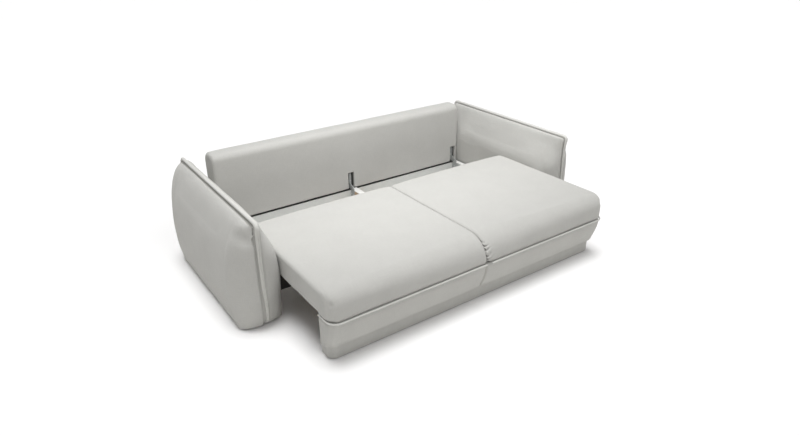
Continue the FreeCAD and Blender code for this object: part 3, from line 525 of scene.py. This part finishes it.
cloth = woven("pale_upholstery", CLOTH_COLOUR)
cloth_on_rolls = woven("pale_upholstery_rolls", CLOTH_COLOUR, by_uv=False)
# The same cloth 1.2 times lighter on welts and piping: painted highlight on cords that catch the
# light
cloth_on_cords_painted_light = woven("pale_upholstery_cords_painted_light", shade(CLOTH_COLOUR, 1.2), by_uv=False)
# The back cover's lowest 3 mm is painted near-black: painted shade in the gap under the back
back_cloth = woven("pale_upholstery_back", CLOTH_COLOUR, painted_shade_under=back_low.z + 3 * MILLIMETRE)
# The lining's top face is painted near-black: painted shade in the gap under the back
lining = woven("grey_lining", LINING_COLOUR, yarn=LINING_YARN, by_uv=False, depth=0.5,
               painted_shade_over=lining_high.z - 0.5 * MILLIMETRE)
# Near-black cloth for frame pieces that lie in shade: painted shade, a dark cover put where there
# is only shade
painted_shade_lining = woven("painted_shade_lining", PAINTED_SHADE_COLOUR, yarn=LINING_YARN, by_uv=False, depth=0.5)
# Dark grey cloth on the seat's rails: painted shade under the seat, a little lighter than the
# near-black
rail_painted_shade_lining = woven("rail_painted_shade_lining", shade(PAINTED_SHADE_COLOUR, 2.2), yarn=LINING_YARN,
                    by_uv=False, depth=0.5)
pine_along_x = timber("pine_along_x", PINE_COLOUR, 0)
pine_along_y = timber("pine_along_y", RAIL_PINE_COLOUR, 1)
pine_along_z = timber("pine_along_z", PINE_COLOUR, 2)
ply_upright = layered("plywood_upright", PLYWOOD_COLOUR, 0)
ply_flat = layered("plywood_flat", PLYWOOD_COLOUR, 2)
hinge_steel = plated("hinge_steel", (0.400, 0.415, 0.410), roughness=0.42, metallic=0.2)
fixing_steel = plated("fixing_steel", (0.640, 0.640, 0.630), roughness=0.3)
white_plastic = moulded("white_plastic", (0.720, 0.720, 0.700))
black_plastic = moulded("black_plastic", (0.035, 0.035, 0.036), clean=0.8)
roller_plastic = moulded("roller_plastic", (0.120, 0.120, 0.125), clean=0.85)
rubber = moulded("black_rubber", (0.030, 0.030, 0.030), roughness=0.75, clean=0.8)


def dressed(piece, finish):
    """Puts a finish on a whole piece."""
    piece.data.materials.clear()
    piece.data.materials.append(finish)


def unwrapped(piece):
    """Lays the weave on a piece straight from its nearest side, in metres."""
    open_mesh(piece)
    bpy.ops.uv.cube_project(cube_size=1.0, scale_to_bounds=False)
    close_mesh()


def upholstered(piece, node, body, finish=cloth):
    """Finishes a padded piece that stands for one node."""
    unwrapped(piece)
    smooth(piece)
    dressed(piece, finish)
    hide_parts(node)
    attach(piece, body)


# Arms: a pillow form between two sewn ends, drawn in beside its seams and pinched at its corners

ARM_GRAIN = 10 * MILLIMETRE
ARM_ROOM = (Vector((frame_low.x, frame_low.y, -ROOM_OVERRUN)), Vector(frame_high))
FRONT_SEAM_Y = welt_low.y + WELT_RADIUS
REAR_SEAM_Y = welt_high.y - WELT_RADIUS
SIDE_REACH = arm_high.x - SEAM_X

# The arm's ends as they are sewn: fullest at one height, set back at the foot and at the top

FULLEST_Z = 0.449
FRONT_BULGE = 0.086
REAR_BULGE = 0.092
FOOT_SHARE = 0.75
TOP_SHARE = 0.28

# The front end as it stands once it is filled: its setback at each height, rounding and lean

STANDING_SETBACK = 0.034
STANDING_FOOT = 0.068
STANDING_FOOT_HEIGHT = 0.25
STANDING_TOP = 0.008
STANDING_TOP_Z = 0.50
STANDING_TOP_HEIGHT = 0.142
END_DEPTH = 0.176
CORNER_DEPTH = 0.336
CORNER_ROUNDING = 0.048
SEAM_LEAN = 0.024
LEAN_HEIGHT = 0.30
LEAN_REACH = 0.12

# What the seams do to the padding beside them

GROOVE_SIDE = 13 * MILLIMETRE
GROOVE_WIDTH = 7 * MILLIMETRE
OUTER_GROOVE = 13 * MILLIMETRE
INNER_GROOVE = 3 * MILLIMETRE
FRONT_PINCH = 20 * MILLIMETRE
REAR_PINCH = 8 * MILLIMETRE
PINCH_SIDE = 0.022
PINCH_INSET = 0.040
PINCH_Z = RIDGE_Z - 0.031
PINCH_REACH = (0.026, 0.045, 0.042)
SHOULDER_START = 6 * MILLIMETRE
SHOULDER_WIDTH = 70 * MILLIMETRE
SHOULDER_FALL = 13 * MILLIMETRE
CREASE_HEIGHTS = (0.535, 0.475, 0.445, 0.385, 0.330, 0.262)
CREASE_DEPTH = 1.3 * MILLIMETRE
HOLLOW_DEPTH = 19 * MILLIMETRE
HOLLOW_SIDE = 0.060
HOLLOW_Z = 0.562


def seam_setback(z, bulge):
    """How far an end's seam stands back from its fullest place at a height."""
    if z < FULLEST_Z:
        return bulge * FOOT_SHARE * ((FULLEST_Z - z) / FULLEST_Z) ** 2
    return bulge * TOP_SHARE * ((z - FULLEST_Z) / (RIDGE_Z - FULLEST_Z)) ** 2


def standing_setback(z):
    """How far the filled arm's front seam stands back: upright, with a foot flat across."""
    low = max(1 - z / STANDING_FOOT_HEIGHT, 0.0)
    high = max((z - STANDING_TOP_Z) / STANDING_TOP_HEIGHT, 0.0)
    return STANDING_SETBACK + STANDING_FOOT * low ** 2 - STANDING_TOP * high ** 2


def set_on_floor(place):
    """Where a point of the arm's front end lies once the arm stands filled on the floor."""
    z = place.z
    sewn_y = FRONT_SEAM_Y + seam_setback(z, FRONT_BULGE)
    standing_y = FRONT_SEAM_Y + standing_setback(z)
    end = FRONT_SEAM_Y + END_DEPTH
    y = place.y
    if y < end:
        y = end - (end - y) * (end - standing_y) / (end - sewn_y)
    far = FRONT_SEAM_Y + CORNER_DEPTH
    outer = max(place.x - SEAM_X, 0.0) / SIDE_REACH
    if y < far:
        rounding = CORNER_ROUNDING * outer ** 2 * eased_step(z / STANDING_FOOT_HEIGHT)
        y += rounding * (far - y) / (far - standing_y)
    lean = SEAM_LEAN * max(1 - z / LEAN_HEIGHT, 0.0) ** 1.5
    beside = max(1 - abs(place.x - SEAM_X) / LEAN_REACH, 0.0)
    ahead = eased_step((end - y) / 0.10)
    return Vector((place.x - lean * beside * ahead, y, z))


def arm_seam_distance(place):
    """How far a point of the arm lies to the side of its middle seam."""
    return abs(place.x - SEAM_X)


def on_arm_end(place):
    """How much a point belongs to the arm's front or rear face, from 0 to 1."""
    ahead = (arm_low.y + 0.13 - place.y) / 0.05
    behind = (place.y - arm_high.y + 0.13) / 0.05
    return share_of(max(ahead, behind))


def pinch(place, seam_y, depth):
    """How far the pinch below one top corner draws a point in."""
    inset = math.copysign(PINCH_INSET, -seam_y)
    away = place - Vector((SEAM_X + PINCH_SIDE, seam_y + inset, PINCH_Z))
    return depth * math.exp(-sum((part / reach) ** 2 for part, reach in zip(away, PINCH_REACH)))


def arm_seam_draw(place, normal):
    """The groove beside the arm's welt and the soft pinches below its outer top corners."""
    beside = arm_seam_distance(place) - GROOVE_SIDE
    near_seam = max(on_arm_end(place), share_of((place.z - 0.50) / 0.12))
    groove = bell(beside, GROOVE_WIDTH) * near_seam
    if place.x <= SEAM_X:
        return normal * -(INNER_GROOVE * groove)
    drawn = pinch(place, FRONT_SEAM_Y, FRONT_PINCH) + pinch(place, REAR_SEAM_Y, REAR_PINCH)
    return normal * -(OUTER_GROOVE * groove + drawn)


def arm_shoulder(place, normal):
    """The inner panel's steeper fall beside the ridge, most of all at the front corner."""
    beside = eased_step((SEAM_X - place.x - SHOULDER_START) / SHOULDER_WIDTH)
    high = eased_step((place.z - 0.42) / 0.17)
    ahead = eased_step(1 - (place.y - FRONT_SEAM_Y) / 0.42)
    return normal * (-SHOULDER_FALL * (1 + ahead) * beside * high)


def front_creases(place, normal):
    """Fine level creases from the front seam to the arm's corner, and the hollow over them."""
    outer = place.x - SEAM_X
    ahead = eased_step((FRONT_SEAM_Y + 0.20 - place.y) / 0.12)
    if outer < 0 or ahead == 0:
        return Vector((0, 0, 0))
    slope = place.z + 0.05 * outer
    lines = sum(bell(slope - height, 5 * MILLIMETRE) for height in CREASE_HEIGHTS)
    creases = CREASE_DEPTH * lines * bell(outer - 0.02, 0.06)
    hollow = HOLLOW_DEPTH * bell(outer - HOLLOW_SIDE, 0.045) * bell(place.z - HOLLOW_Z, 0.040)
    return normal * (-(creases + hollow) * ahead)


def arm_pillow():
    """The right arm's padded cover."""
    piece = blank("arm_pillow_right", "arm_cover_right", [ARM_ROOM], ARM_GRAIN)
    worked(piece, "SMOOTH", factor=0.5, iterations=3)
    stuffed(piece, lambda place: arm_seam_distance(place) < 0.012 or place.z < 0.03, 3.0, 0.008)
    worked(piece, "SUBSURF", levels=1, render_levels=1)
    moved(piece, arm_seam_draw)
    moved(piece, arm_shoulder)
    moved(piece, front_creases)
    moved(piece, lambda place, normal: set_on_floor(place) - place)
    moved(piece, soft_waves(2.2 * MILLIMETRE, 0.16))
    kept_within(piece, (arm_low.x, -FAR, arm_low.z), (FAR, FAR, FAR))
    cut_for(piece, [ARM_ROOM])
    return piece


arm_right = arm_pillow()
arm_left = mirrored(arm_right, "arm_pillow_left")
upholstered(arm_right, "arm_cover_right", "base")
upholstered(arm_left, "arm_cover_left", "base")

# Arm welts: one soft roll along the ridge that opens into two fine cords down each end

ROLL_SIDES = 32
ROLL_STEP = 0.010
ROLL_HALF_WIDTH = 11 * MILLIMETRE
ROLL_HALF_HEIGHT = 9.5 * MILLIMETRE
ROLL_LIFT = 2.5 * MILLIMETRE
BAND_HALF_WIDTH = 12 * MILLIMETRE
BAND_HEIGHT = 2.6 * MILLIMETRE
BAND_LIFT = 1.4 * MILLIMETRE
CORD_HEIGHT = 7 * MILLIMETRE
UNDERSIDE = 4 * MILLIMETRE
BEND = 0.030
FOOT_Z = welt_low.z
ARM_MIDDLE = Vector((SEAM_X, (FRONT_SEAM_Y + REAR_SEAM_Y) / 2, 0.2))


def rolled(name, line, radius, sides=16):
    """A round tube of cloth that follows a line."""
    curve = bpy.data.curves.new(name, "CURVE")
    curve.dimensions = "3D"
    curve.bevel_depth = radius
    curve.bevel_resolution = (sides - 4) // 2
    curve.resolution_u = 1
    spline = curve.splines.new("POLY")
    spline.points.add(len(line) - 1)
    for point, place in zip(spline.points, line):
        point.co = (*place, 1.0)
    piece = bpy.data.objects.new(name, curve)
    bpy.context.collection.objects.link(piece)
    pick(piece)
    bpy.ops.object.convert(target="MESH")
    return named(bpy.context.object, name)


def capped(piece):
    """Closes both ends of a roll."""
    open_mesh(piece)
    bpy.ops.mesh.fill_holes(sides=0)
    bpy.ops.mesh.normals_make_consistent(inside=False)
    close_mesh()
    return piece


def evened(line, step):
    """Points a steady step apart along a line."""
    points = [Vector(place) for place in line]
    even = [points[0]]
    spare = 0.0
    for start, end in zip(points, points[1:]):
        run = (end - start).length
        along = step - spare
        while along <= run:
            even.append(start.lerp(end, along / run))
            along += step
        spare = run - (along - step)
    even.append(points[-1])
    return even


def end_line(seam_y, bulge, way):
    """One end's seam in the arm's middle plane, from the floor up to the bend."""
    points = []
    foot = FOOT_Z + 0.004
    top = RIDGE_Z - BEND
    for number in range(41):
        z = foot + (top - foot) * number / 40
        points.append(Vector((SEAM_X, seam_y - way * seam_setback(z, bulge), z)))
    tip = points[-1]
    for number in range(1, 9):
        turn = math.pi / 2 * number / 8
        points.append(Vector((
            SEAM_X, tip.y - way * BEND * (1 - math.cos(turn)), tip.z + BEND * math.sin(turn))))
    return points


def seam_height(side):
    """The end seam's height across its width: a flat band and a proud cord beside it."""
    cord = (side + 0.60) / 0.36
    if abs(cord) < 1:
        return CORD_HEIGHT * math.sqrt(1 - cord ** 2)
    band = (side - 0.36) / 0.62
    return BAND_HEIGHT * math.sqrt(max(1 - band ** 4, 0.0))


def away_from_arm(centre, along):
    """The way square to the seam that points out of the arm."""
    outward = Vector((0, -along.z, along.y))
    if outward.z < 0 and abs(along.y) > 0.7:
        outward = -outward
    if outward.dot(centre - ARM_MIDDLE) < 0:
        outward = -outward
    return outward


def welt_outline(side, up, centre):
    """Sideways and outward places on the welt: a roll on the ridge, a band and cord below."""
    low = RIDGE_Z - centre.z
    roll = Vector((side * ROLL_HALF_WIDTH, up * ROLL_HALF_HEIGHT + ROLL_LIFT))
    height = seam_height(side) if up > 0 else -UNDERSIDE * abs(up)
    narrow = 1 - 0.40 * share_of(low / RIDGE_Z)
    pair = Vector((side * BAND_HALF_WIDTH * narrow, height + BAND_LIFT))
    return roll.lerp(pair, eased_step((low - 0.012) / 0.05))


def arm_welt():
    """The right arm's welt."""
    front = end_line(FRONT_SEAM_Y, FRONT_BULGE, -1)
    rear = end_line(REAR_SEAM_Y, REAR_BULGE, 1)
    line = evened([set_on_floor(place) for place in front + rear[::-1]], ROLL_STEP)
    piece = rolled("arm_welt_right_roll", line, 1.0, ROLL_SIDES)
    ring = len(piece.data.vertices) // len(line)
    for number, centre in enumerate(line):
        before = line[max(number - 1, 0)]
        after = line[min(number + 1, len(line) - 1)]
        outward = away_from_arm(centre, (after - before).normalized())
        for index in range(number * ring, (number + 1) * ring):
            point = piece.data.vertices[index]
            offset = point.co - centre
            sideways, out = welt_outline(offset.x, offset.dot(outward), centre)
            point.co = centre + Vector((sideways, 0, 0)) + outward * out
    return capped(piece)


welt_right = arm_welt()
welt_left = mirrored(welt_right, "arm_welt_left_roll")
for piece, node in ((welt_right, "arm_welt_right"), (welt_left, "arm_welt_left")):
    smooth(piece, 60)
    dressed(piece, cloth_on_cords_painted_light)
    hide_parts(node)
    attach(piece, "base")

# Seat: two crowned cushions with a rounded front, gathered beside the split

SEAT_GRAIN = 10 * MILLIMETRE
SWELL_ROOM = 4 * MILLIMETRE
SEAT_ROOM = (
    Vector((-ROOM_OVERRUN, front_rail_low.y, seat_low.z - ROOM_OVERRUN)),
    Vector((slats_high.x + 0.045, rear_rail_high.y, slats_high.z)),
)
GATHER_PITCH = 24 * MILLIMETRE
GATHER_SLANT = 0.35
GATHER_DEPTH = 11 * MILLIMETRE
GATHER_TOP_Z = 0.375
SLIT_DEPTH = 9 * MILLIMETRE
FOLD_DEPTH = 3 * MILLIMETRE
TUCK_DEPTH = 9 * MILLIMETRE
TUCK_Z = 0.360
PIPING_DIP = 2.5 * MILLIMETRE


def seat_gathers(place, normal):
    """Small slanting puckers down the right cushion's rounded front beside the split."""
    front_share = share_of((seat_low.y + 0.15 - place.y) / 0.05)
    low_share = share_of((GATHER_TOP_Z - place.z) / 0.03)
    turn = 2 * math.pi * (place.z - GATHER_SLANT * place.x) / GATHER_PITCH
    wave = (0.5 - 0.5 * math.cos(turn + 1.5 * math.sin(place.z * 90))) ** 2
    gather = GATHER_DEPTH * wave * bell(place.x - 0.004, 0.024) * low_share
    slit = SLIT_DEPTH * bell(place.x - 0.016, 0.014) * bell(place.z - PIPING_Z - 0.004, 0.008)
    return normal * (-(gather + slit) * front_share)


def corner_fold(place, normal):
    """The fold down the cushion's outer front corner and the tuck at its top."""
    across = ((seat_high.x - place.x) - (place.y - seat_low.y)) / math.sqrt(2)
    out = (seat_high.x - place.x) + (place.y - seat_low.y)
    near = eased_step(2 - out / 0.08)
    tall = eased_step((TUCK_Z + 0.005 - place.z) / 0.02)
    fold = FOLD_DEPTH * bell(across, 18 * MILLIMETRE) * tall
    tuck = TUCK_DEPTH * bell(across, 13 * MILLIMETRE) * bell(place.z - TUCK_Z, 12 * MILLIMETRE)
    return normal * (-(fold + tuck) * near)


def seat_draw(place, normal):
    """The cushion's front drawn in just above the piping."""
    above = place.z - PIPING_Z - PIPING_RADIUS
    front_share = share_of((seat_low.y + 0.12 - place.y) / 0.04)
    return normal * -(PIPING_DIP * bell(above, 10 * MILLIMETRE) * front_share)


def seat_cushion():
    """The right seat cushion."""
    piece = blank("seat_pad_right", "seat_cushion_right", [SEAT_ROOM], SEAT_GRAIN)
    worked(piece, "SMOOTH", factor=0.5, iterations=2)
    under = seat_low.z + 0.02
    stuffed(piece, lambda place: place.z < under or place.x < 0.006, 2.0, 0.005)
    worked(piece, "SUBSURF", levels=1, render_levels=1)
    foot = PIPING_Z + 0.035
    refined(piece, lambda place: place.y < seat_low.y + 0.15 and (
        place.z < foot or min(place.x, seat_high.x - place.x) < 0.06
        and place.z < seat_high.z - 0.015))
    moved(piece, seat_draw)
    moved(piece, corner_fold)
    moved(piece, soft_waves(1.6 * MILLIMETRE, 0.14, 3.0))
    kept_within(piece, (seat_low.x, SEAT_FRONT - SWELL_ROOM, seat_low.z),
                (seat_high.x, seat_high.y, FAR))
    cut_for(piece, [SEAT_ROOM])
    return piece


seat_right = seat_cushion()
seat_left = mirrored(seat_right, "seat_pad_left")
moved(seat_right, seat_gathers)
upholstered(seat_right, "seat_cushion_right", "seat")
upholstered(seat_left, "seat_cushion_left", "seat")

# Front panels: slim pads under the piping that curve under to the plinth

PANEL_GRAIN = 8 * MILLIMETRE
UNDER_PIPING_DIP = 3 * MILLIMETRE
SPLIT_DIP = 4 * MILLIMETRE
HEM_DEPTH = 4.5 * MILLIMETRE
HEM_Z = panel_low.z + 0.010


def panel_draw(place, normal):
    """The panel drawn in under the piping and at the split, with a hem above the plinth."""
    below = PIPING_Z - PIPING_RADIUS - place.z
    dip = UNDER_PIPING_DIP * bell(below, 7 * MILLIMETRE)
    split = SPLIT_DIP * bell(place.x, 6 * MILLIMETRE)
    hem = HEM_DEPTH * bell(place.z - HEM_Z, 8 * MILLIMETRE)
    facing = max(-normal.y, normal.x, 0.0)
    return normal * ((hem - dip - split) * facing)


def front_panel():
    """The right lower front panel."""
    piece = blank("front_pad_right", "front_panel_right", [], PANEL_GRAIN)
    worked(piece, "SMOOTH", factor=0.5, iterations=2)
    rear = panel_high.y - 0.02
    stuffed(piece, lambda place: place.y > rear or place.z > PIPING_Z - 0.01, 2.0, 0.004)
    worked(piece, "SUBSURF", levels=1, render_levels=1)
    refined(piece, lambda place: place.z < panel_low.z + 0.035 or place.x < 0.02)
    moved(piece, panel_draw)
    moved(piece, soft_waves(1.4 * MILLIMETRE, 0.12, 7.0))
    kept_within(piece, (panel_low.x, panel_low.y - SWELL_ROOM, panel_low.z), panel_high)
    return piece


panel_right = front_panel()
panel_left = mirrored(panel_right, "front_pad_left")
upholstered(panel_right, "front_panel_right", "seat")
upholstered(panel_left, "front_panel_left", "seat")

# Seat piping: a cloth-covered cord along the front and round the corner

PIPING_CORNER = 0.055
PIPING_PROUD = 5.5 * MILLIMETRE
TUCKED_LENGTH = 0.026


def piping_line(near):
    """The right piping's line from beside the split to the front unit's side."""
    corner = PIPING_CORNER
    front = piping_low.y + PIPING_RADIUS - PIPING_PROUD
    side = piping_high.x - PIPING_RADIUS
    points = [Vector((near, front, PIPING_Z))]
    for number in range(17):
        turn = math.pi / 2 * number / 16
        points.append(Vector((
            side - corner * (1 - math.sin(turn)), front + corner * (1 - math.cos(turn)),
            PIPING_Z)))
    points.append(Vector((side, piping_high.y, PIPING_Z)))
    return evened(points, 0.008)


def seat_piping(name, near):
    """A piping roll with the slight unevenness of sewn cord."""
    piece = rolled(name, piping_line(near), PIPING_RADIUS)
    moved(piece, soft_waves(0.5 * MILLIMETRE, 0.03, 5.0))
    return capped(piece)


piping_right = seat_piping("seat_cord_right", piping_low.x + TUCKED_LENGTH)
piping_left = mirrored(seat_piping("seat_cord_left_blank", piping_low.x), "seat_cord_left")
bpy.data.objects.remove(bpy.data.objects["seat_cord_left_blank"])
for piece, node in ((piping_right, "seat_piping_right"), (piping_left, "seat_piping_left")):
    smooth(piece, 60)
    dressed(piece, cloth_on_cords_painted_light)
    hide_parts(node)
    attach(piece, "seat")

# Back: one long pad with soft top edges, cut for its frame and slotted for the hinge arms

BACK_GRAIN = 11 * MILLIMETRE
SLOT_WIDTH = 0.050
SLOT_TOP = back_low.z + 0.125
SIDE_SLOT = side_rail_low.x - 0.030
CENTRE_SLOT = centre_rail_low.x - 0.018


def slot_room(low_x, over):
    """One slot from its lower x, reaching out past the back's front and bottom."""
    return (
        Vector((low_x, back_low.y - over, back_low.z - over)),
        Vector((low_x + SLOT_WIDTH, back_frame_low.y + 0.0005, SLOT_TOP)),
    )


BACK_ROOM = (Vector(back_frame_low), Vector(back_frame_high))
SLOT_STARTS = [SIDE_SLOT, -SIDE_SLOT - SLOT_WIDTH, CENTRE_SLOT]


def back_pad():
    """The whole back's padded cover."""
    fillers = [BACK_ROOM] + [
        (low + Vector((-0.002, 0.006, 0.006)), high + Vector((0.002, 0.002, 0.002)))
        for low, high in (slot_room(start, 0.0) for start in SLOT_STARTS)
    ]
    piece = blank("back_pad", "backrest_cover", fillers, BACK_GRAIN)
    worked(piece, "SMOOTH", factor=0.5, iterations=2)
    lower = back_low.z + 0.02
    stuffed(piece, lambda place: place.z < lower or place.y < back_low.y + 0.003, 2.5, 0.006)
    worked(piece, "SUBSURF", levels=1, render_levels=1)
    moved(piece, soft_waves(1.8 * MILLIMETRE, 0.2, 11.0))
    kept_within(piece, back_low, (back_high.x, FAR, FAR))
    cut_for(piece, [slot_room(start, ROOM_OVERRUN) for start in SLOT_STARTS] + [BACK_ROOM])
    return piece


back = back_pad()
upholstered(back, "backrest_cover", "backrest", back_cloth)

# Finishes of the CAD pieces that show as they are

FINISHES = {
    "plinth_front": cloth_on_rolls,
    "plinth_ends": cloth_on_rolls,
    "front_board": cloth_on_rolls,
    "rear_board": cloth_on_rolls,
    "rear_lining": lining,
    # The rails under the seat in near-black and dark grey cloth: painted shade
    "rear_cross_rail": painted_shade_lining,
    "front_cross_rail": rail_painted_shade_lining,
    "side_rail_left": painted_shade_lining,
    "side_rail_right": painted_shade_lining,
    "centre_rail": pine_along_y,
    "slide_strips": white_plastic,
    "seat_glides": white_plastic,
    "support_blocks": pine_along_z,
    "backrest_buffers": rubber,
    "floor_glides": black_plastic,
    "arm_board_left": ply_upright,
    "arm_board_right": ply_upright,
    "front_sole": ply_flat,
    "seat_slats": pine_along_y,
    # The seat's rails in dark grey cloth: painted shade
    "seat_front_rail": rail_painted_shade_lining,
    "seat_rear_rail": rail_painted_shade_lining,
    "seat_cross_rails": rail_painted_shade_lining,
    "backrest_top_rail": pine_along_x,
    # The back's bottom rail and posts in near-black cloth: painted shade in the hinge slots
    "backrest_bottom_rail": painted_shade_lining,
    "backrest_posts": painted_shade_lining,
    "roller_brackets": hinge_steel,
    "hinge_pins": fixing_steel,
    "plate_screws": fixing_steel,
    "flange_screws": fixing_steel,
    "arm_fixings": fixing_steel,
    "roller_axles": fixing_steel,
}
for side in ("left", "right"):
    FINISHES[f"arm_front_post_{side}"] = pine_along_z
    FINISHES[f"arm_rear_post_{side}"] = pine_along_z
    FINISHES[f"arm_top_rail_{side}"] = pine_along_y
    FINISHES[f"arm_bottom_rail_{side}"] = pine_along_y
for place in ("left", "centre", "right"):
    FINISHES[f"hinge_plate_{place}"] = hinge_steel
    FINISHES[f"hinge_arm_{place}"] = hinge_steel
for number in range(1, 5):
    FINISHES[f"roller_{number}"] = roller_plastic

for node, finish in FINISHES.items():
    slots = frame["nodes"][node].material_slots
    for slot in slots:
        slot.material = finish

# Floor, light and camera

FLOOR_COLOUR = (0.93, 0.92, 0.90)
WORLD_LIGHT = 0.265
CAMERA_PLACE = (-2.0671, -2.9485, 1.9724)
CAMERA_YAW = 34.90
CAMERA_PITCH = -26.00
CAMERA_ROLL = -0.60
CAMERA_LENS = 27.25


def seen_directly(tree):
    """1 for rays from the camera, from reflections and through clear things, else 0."""
    path = add(tree, "LightPath")
    seen = maths(tree, "ADD", path.outputs["Is Camera Ray"], path.outputs["Is Glossy Ray"])
    return maths(tree, "ADD", seen, path.outputs["Is Transmission Ray"])


def white_to_camera(name, colour):
    """A pale matt floor that the camera and reflections see whiter than the light sees it."""
    finish, tree, shader = material(name)
    shader.inputs["Roughness"].default_value = 0.95
    shader.inputs["Specular IOR Level"].default_value = 0.0
    tone = blended(tree, seen_directly(tree), (*colour, 1.0), (1.0, 0.995, 0.995, 1.0))
    tree.links.new(tone, shader.inputs["Base Color"])
    return finish


def floor():
    """A wide pale floor."""
    bpy.ops.object.select_all(action="DESELECT")
    bpy.ops.mesh.primitive_plane_add(size=60, location=(0, 0, 0))
    piece = named(bpy.context.object, "floor")
    piece.data.materials.append(white_to_camera("floor_white", FLOOR_COLOUR))


def world():
    """An even white surround that lights softly and shows as white."""
    surround = bpy.data.worlds.new("surround")
    bpy.context.scene.world = surround
    surround.use_nodes = True
    tree = surround.node_tree
    ground = tree.nodes["Background"]
    ground.inputs["Color"].default_value = (1.0, 1.0, 1.0, 1.0)
    level = add(tree, "MapRange", {"Value": seen_directly(tree), "To Min": WORLD_LIGHT,
                                   "To Max": 1.0})
    tree.links.new(level.outputs["Result"], ground.inputs["Strength"])


def lamp(name, kind, place, target, energy, **settings):
    """A lamp at a place, turned to a target."""
    light = bpy.data.lights.new(name, kind)
    light.energy = energy
    for key, value in settings.items():
        setattr(light, key, value)
    fitting = bpy.data.objects.new(name, light)
    bpy.context.scene.collection.objects.link(fitting)
    fitting.location = place
    way = Vector(target) - Vector(place)
    fitting.rotation_euler = way.to_track_quat("-Z", "Y").to_euler()


def camera():
    """A camera at the photograph's place and angle."""
    yaw = math.radians(CAMERA_YAW)
    pitch = math.radians(CAMERA_PITCH)
    roll = math.radians(CAMERA_ROLL)
    view = bpy.data.cameras.new("photo_view")
    view.sensor_width = 36.0
    view.lens = CAMERA_LENS
    eye = bpy.data.objects.new("photo_view", view)
    bpy.context.scene.collection.objects.link(eye)
    ahead = Vector((math.sin(yaw) * math.cos(pitch), math.cos(yaw) * math.cos(pitch),
                    math.sin(pitch)))
    right = Vector((math.cos(yaw), -math.sin(yaw), 0.0))
    up = right.cross(ahead)
    across = right * math.cos(roll) + up * math.sin(roll)
    above = up * math.cos(roll) - right * math.sin(roll)
    turned = Matrix((across, above, -ahead)).transposed().to_4x4()
    eye.matrix_world = Matrix.Translation(CAMERA_PLACE) @ turned
    bpy.context.scene.camera = eye


floor()
world()
lamp("overhead", "SUN", (0, 0, 4), (0.1, -0.1, 0), 2.03, angle=math.radians(30))
lamp("front_light", "SUN", (0, -4, 4), (0, 0, 0), 0.455, angle=math.radians(50))
lamp("left_softbox", "AREA", (-0.5, -0.55, 1.9), (0.95, 0.15, 0.4), 5.0, size=0.8)
lamp("softbox", "AREA", (0.05, -0.38, 1.5), (0.05, 0.62, 0.6), 10.4, shape="RECTANGLE", size=2.4,
     size_y=0.4)
camera()
bpy.context.scene.view_settings.view_transform = "Standard"
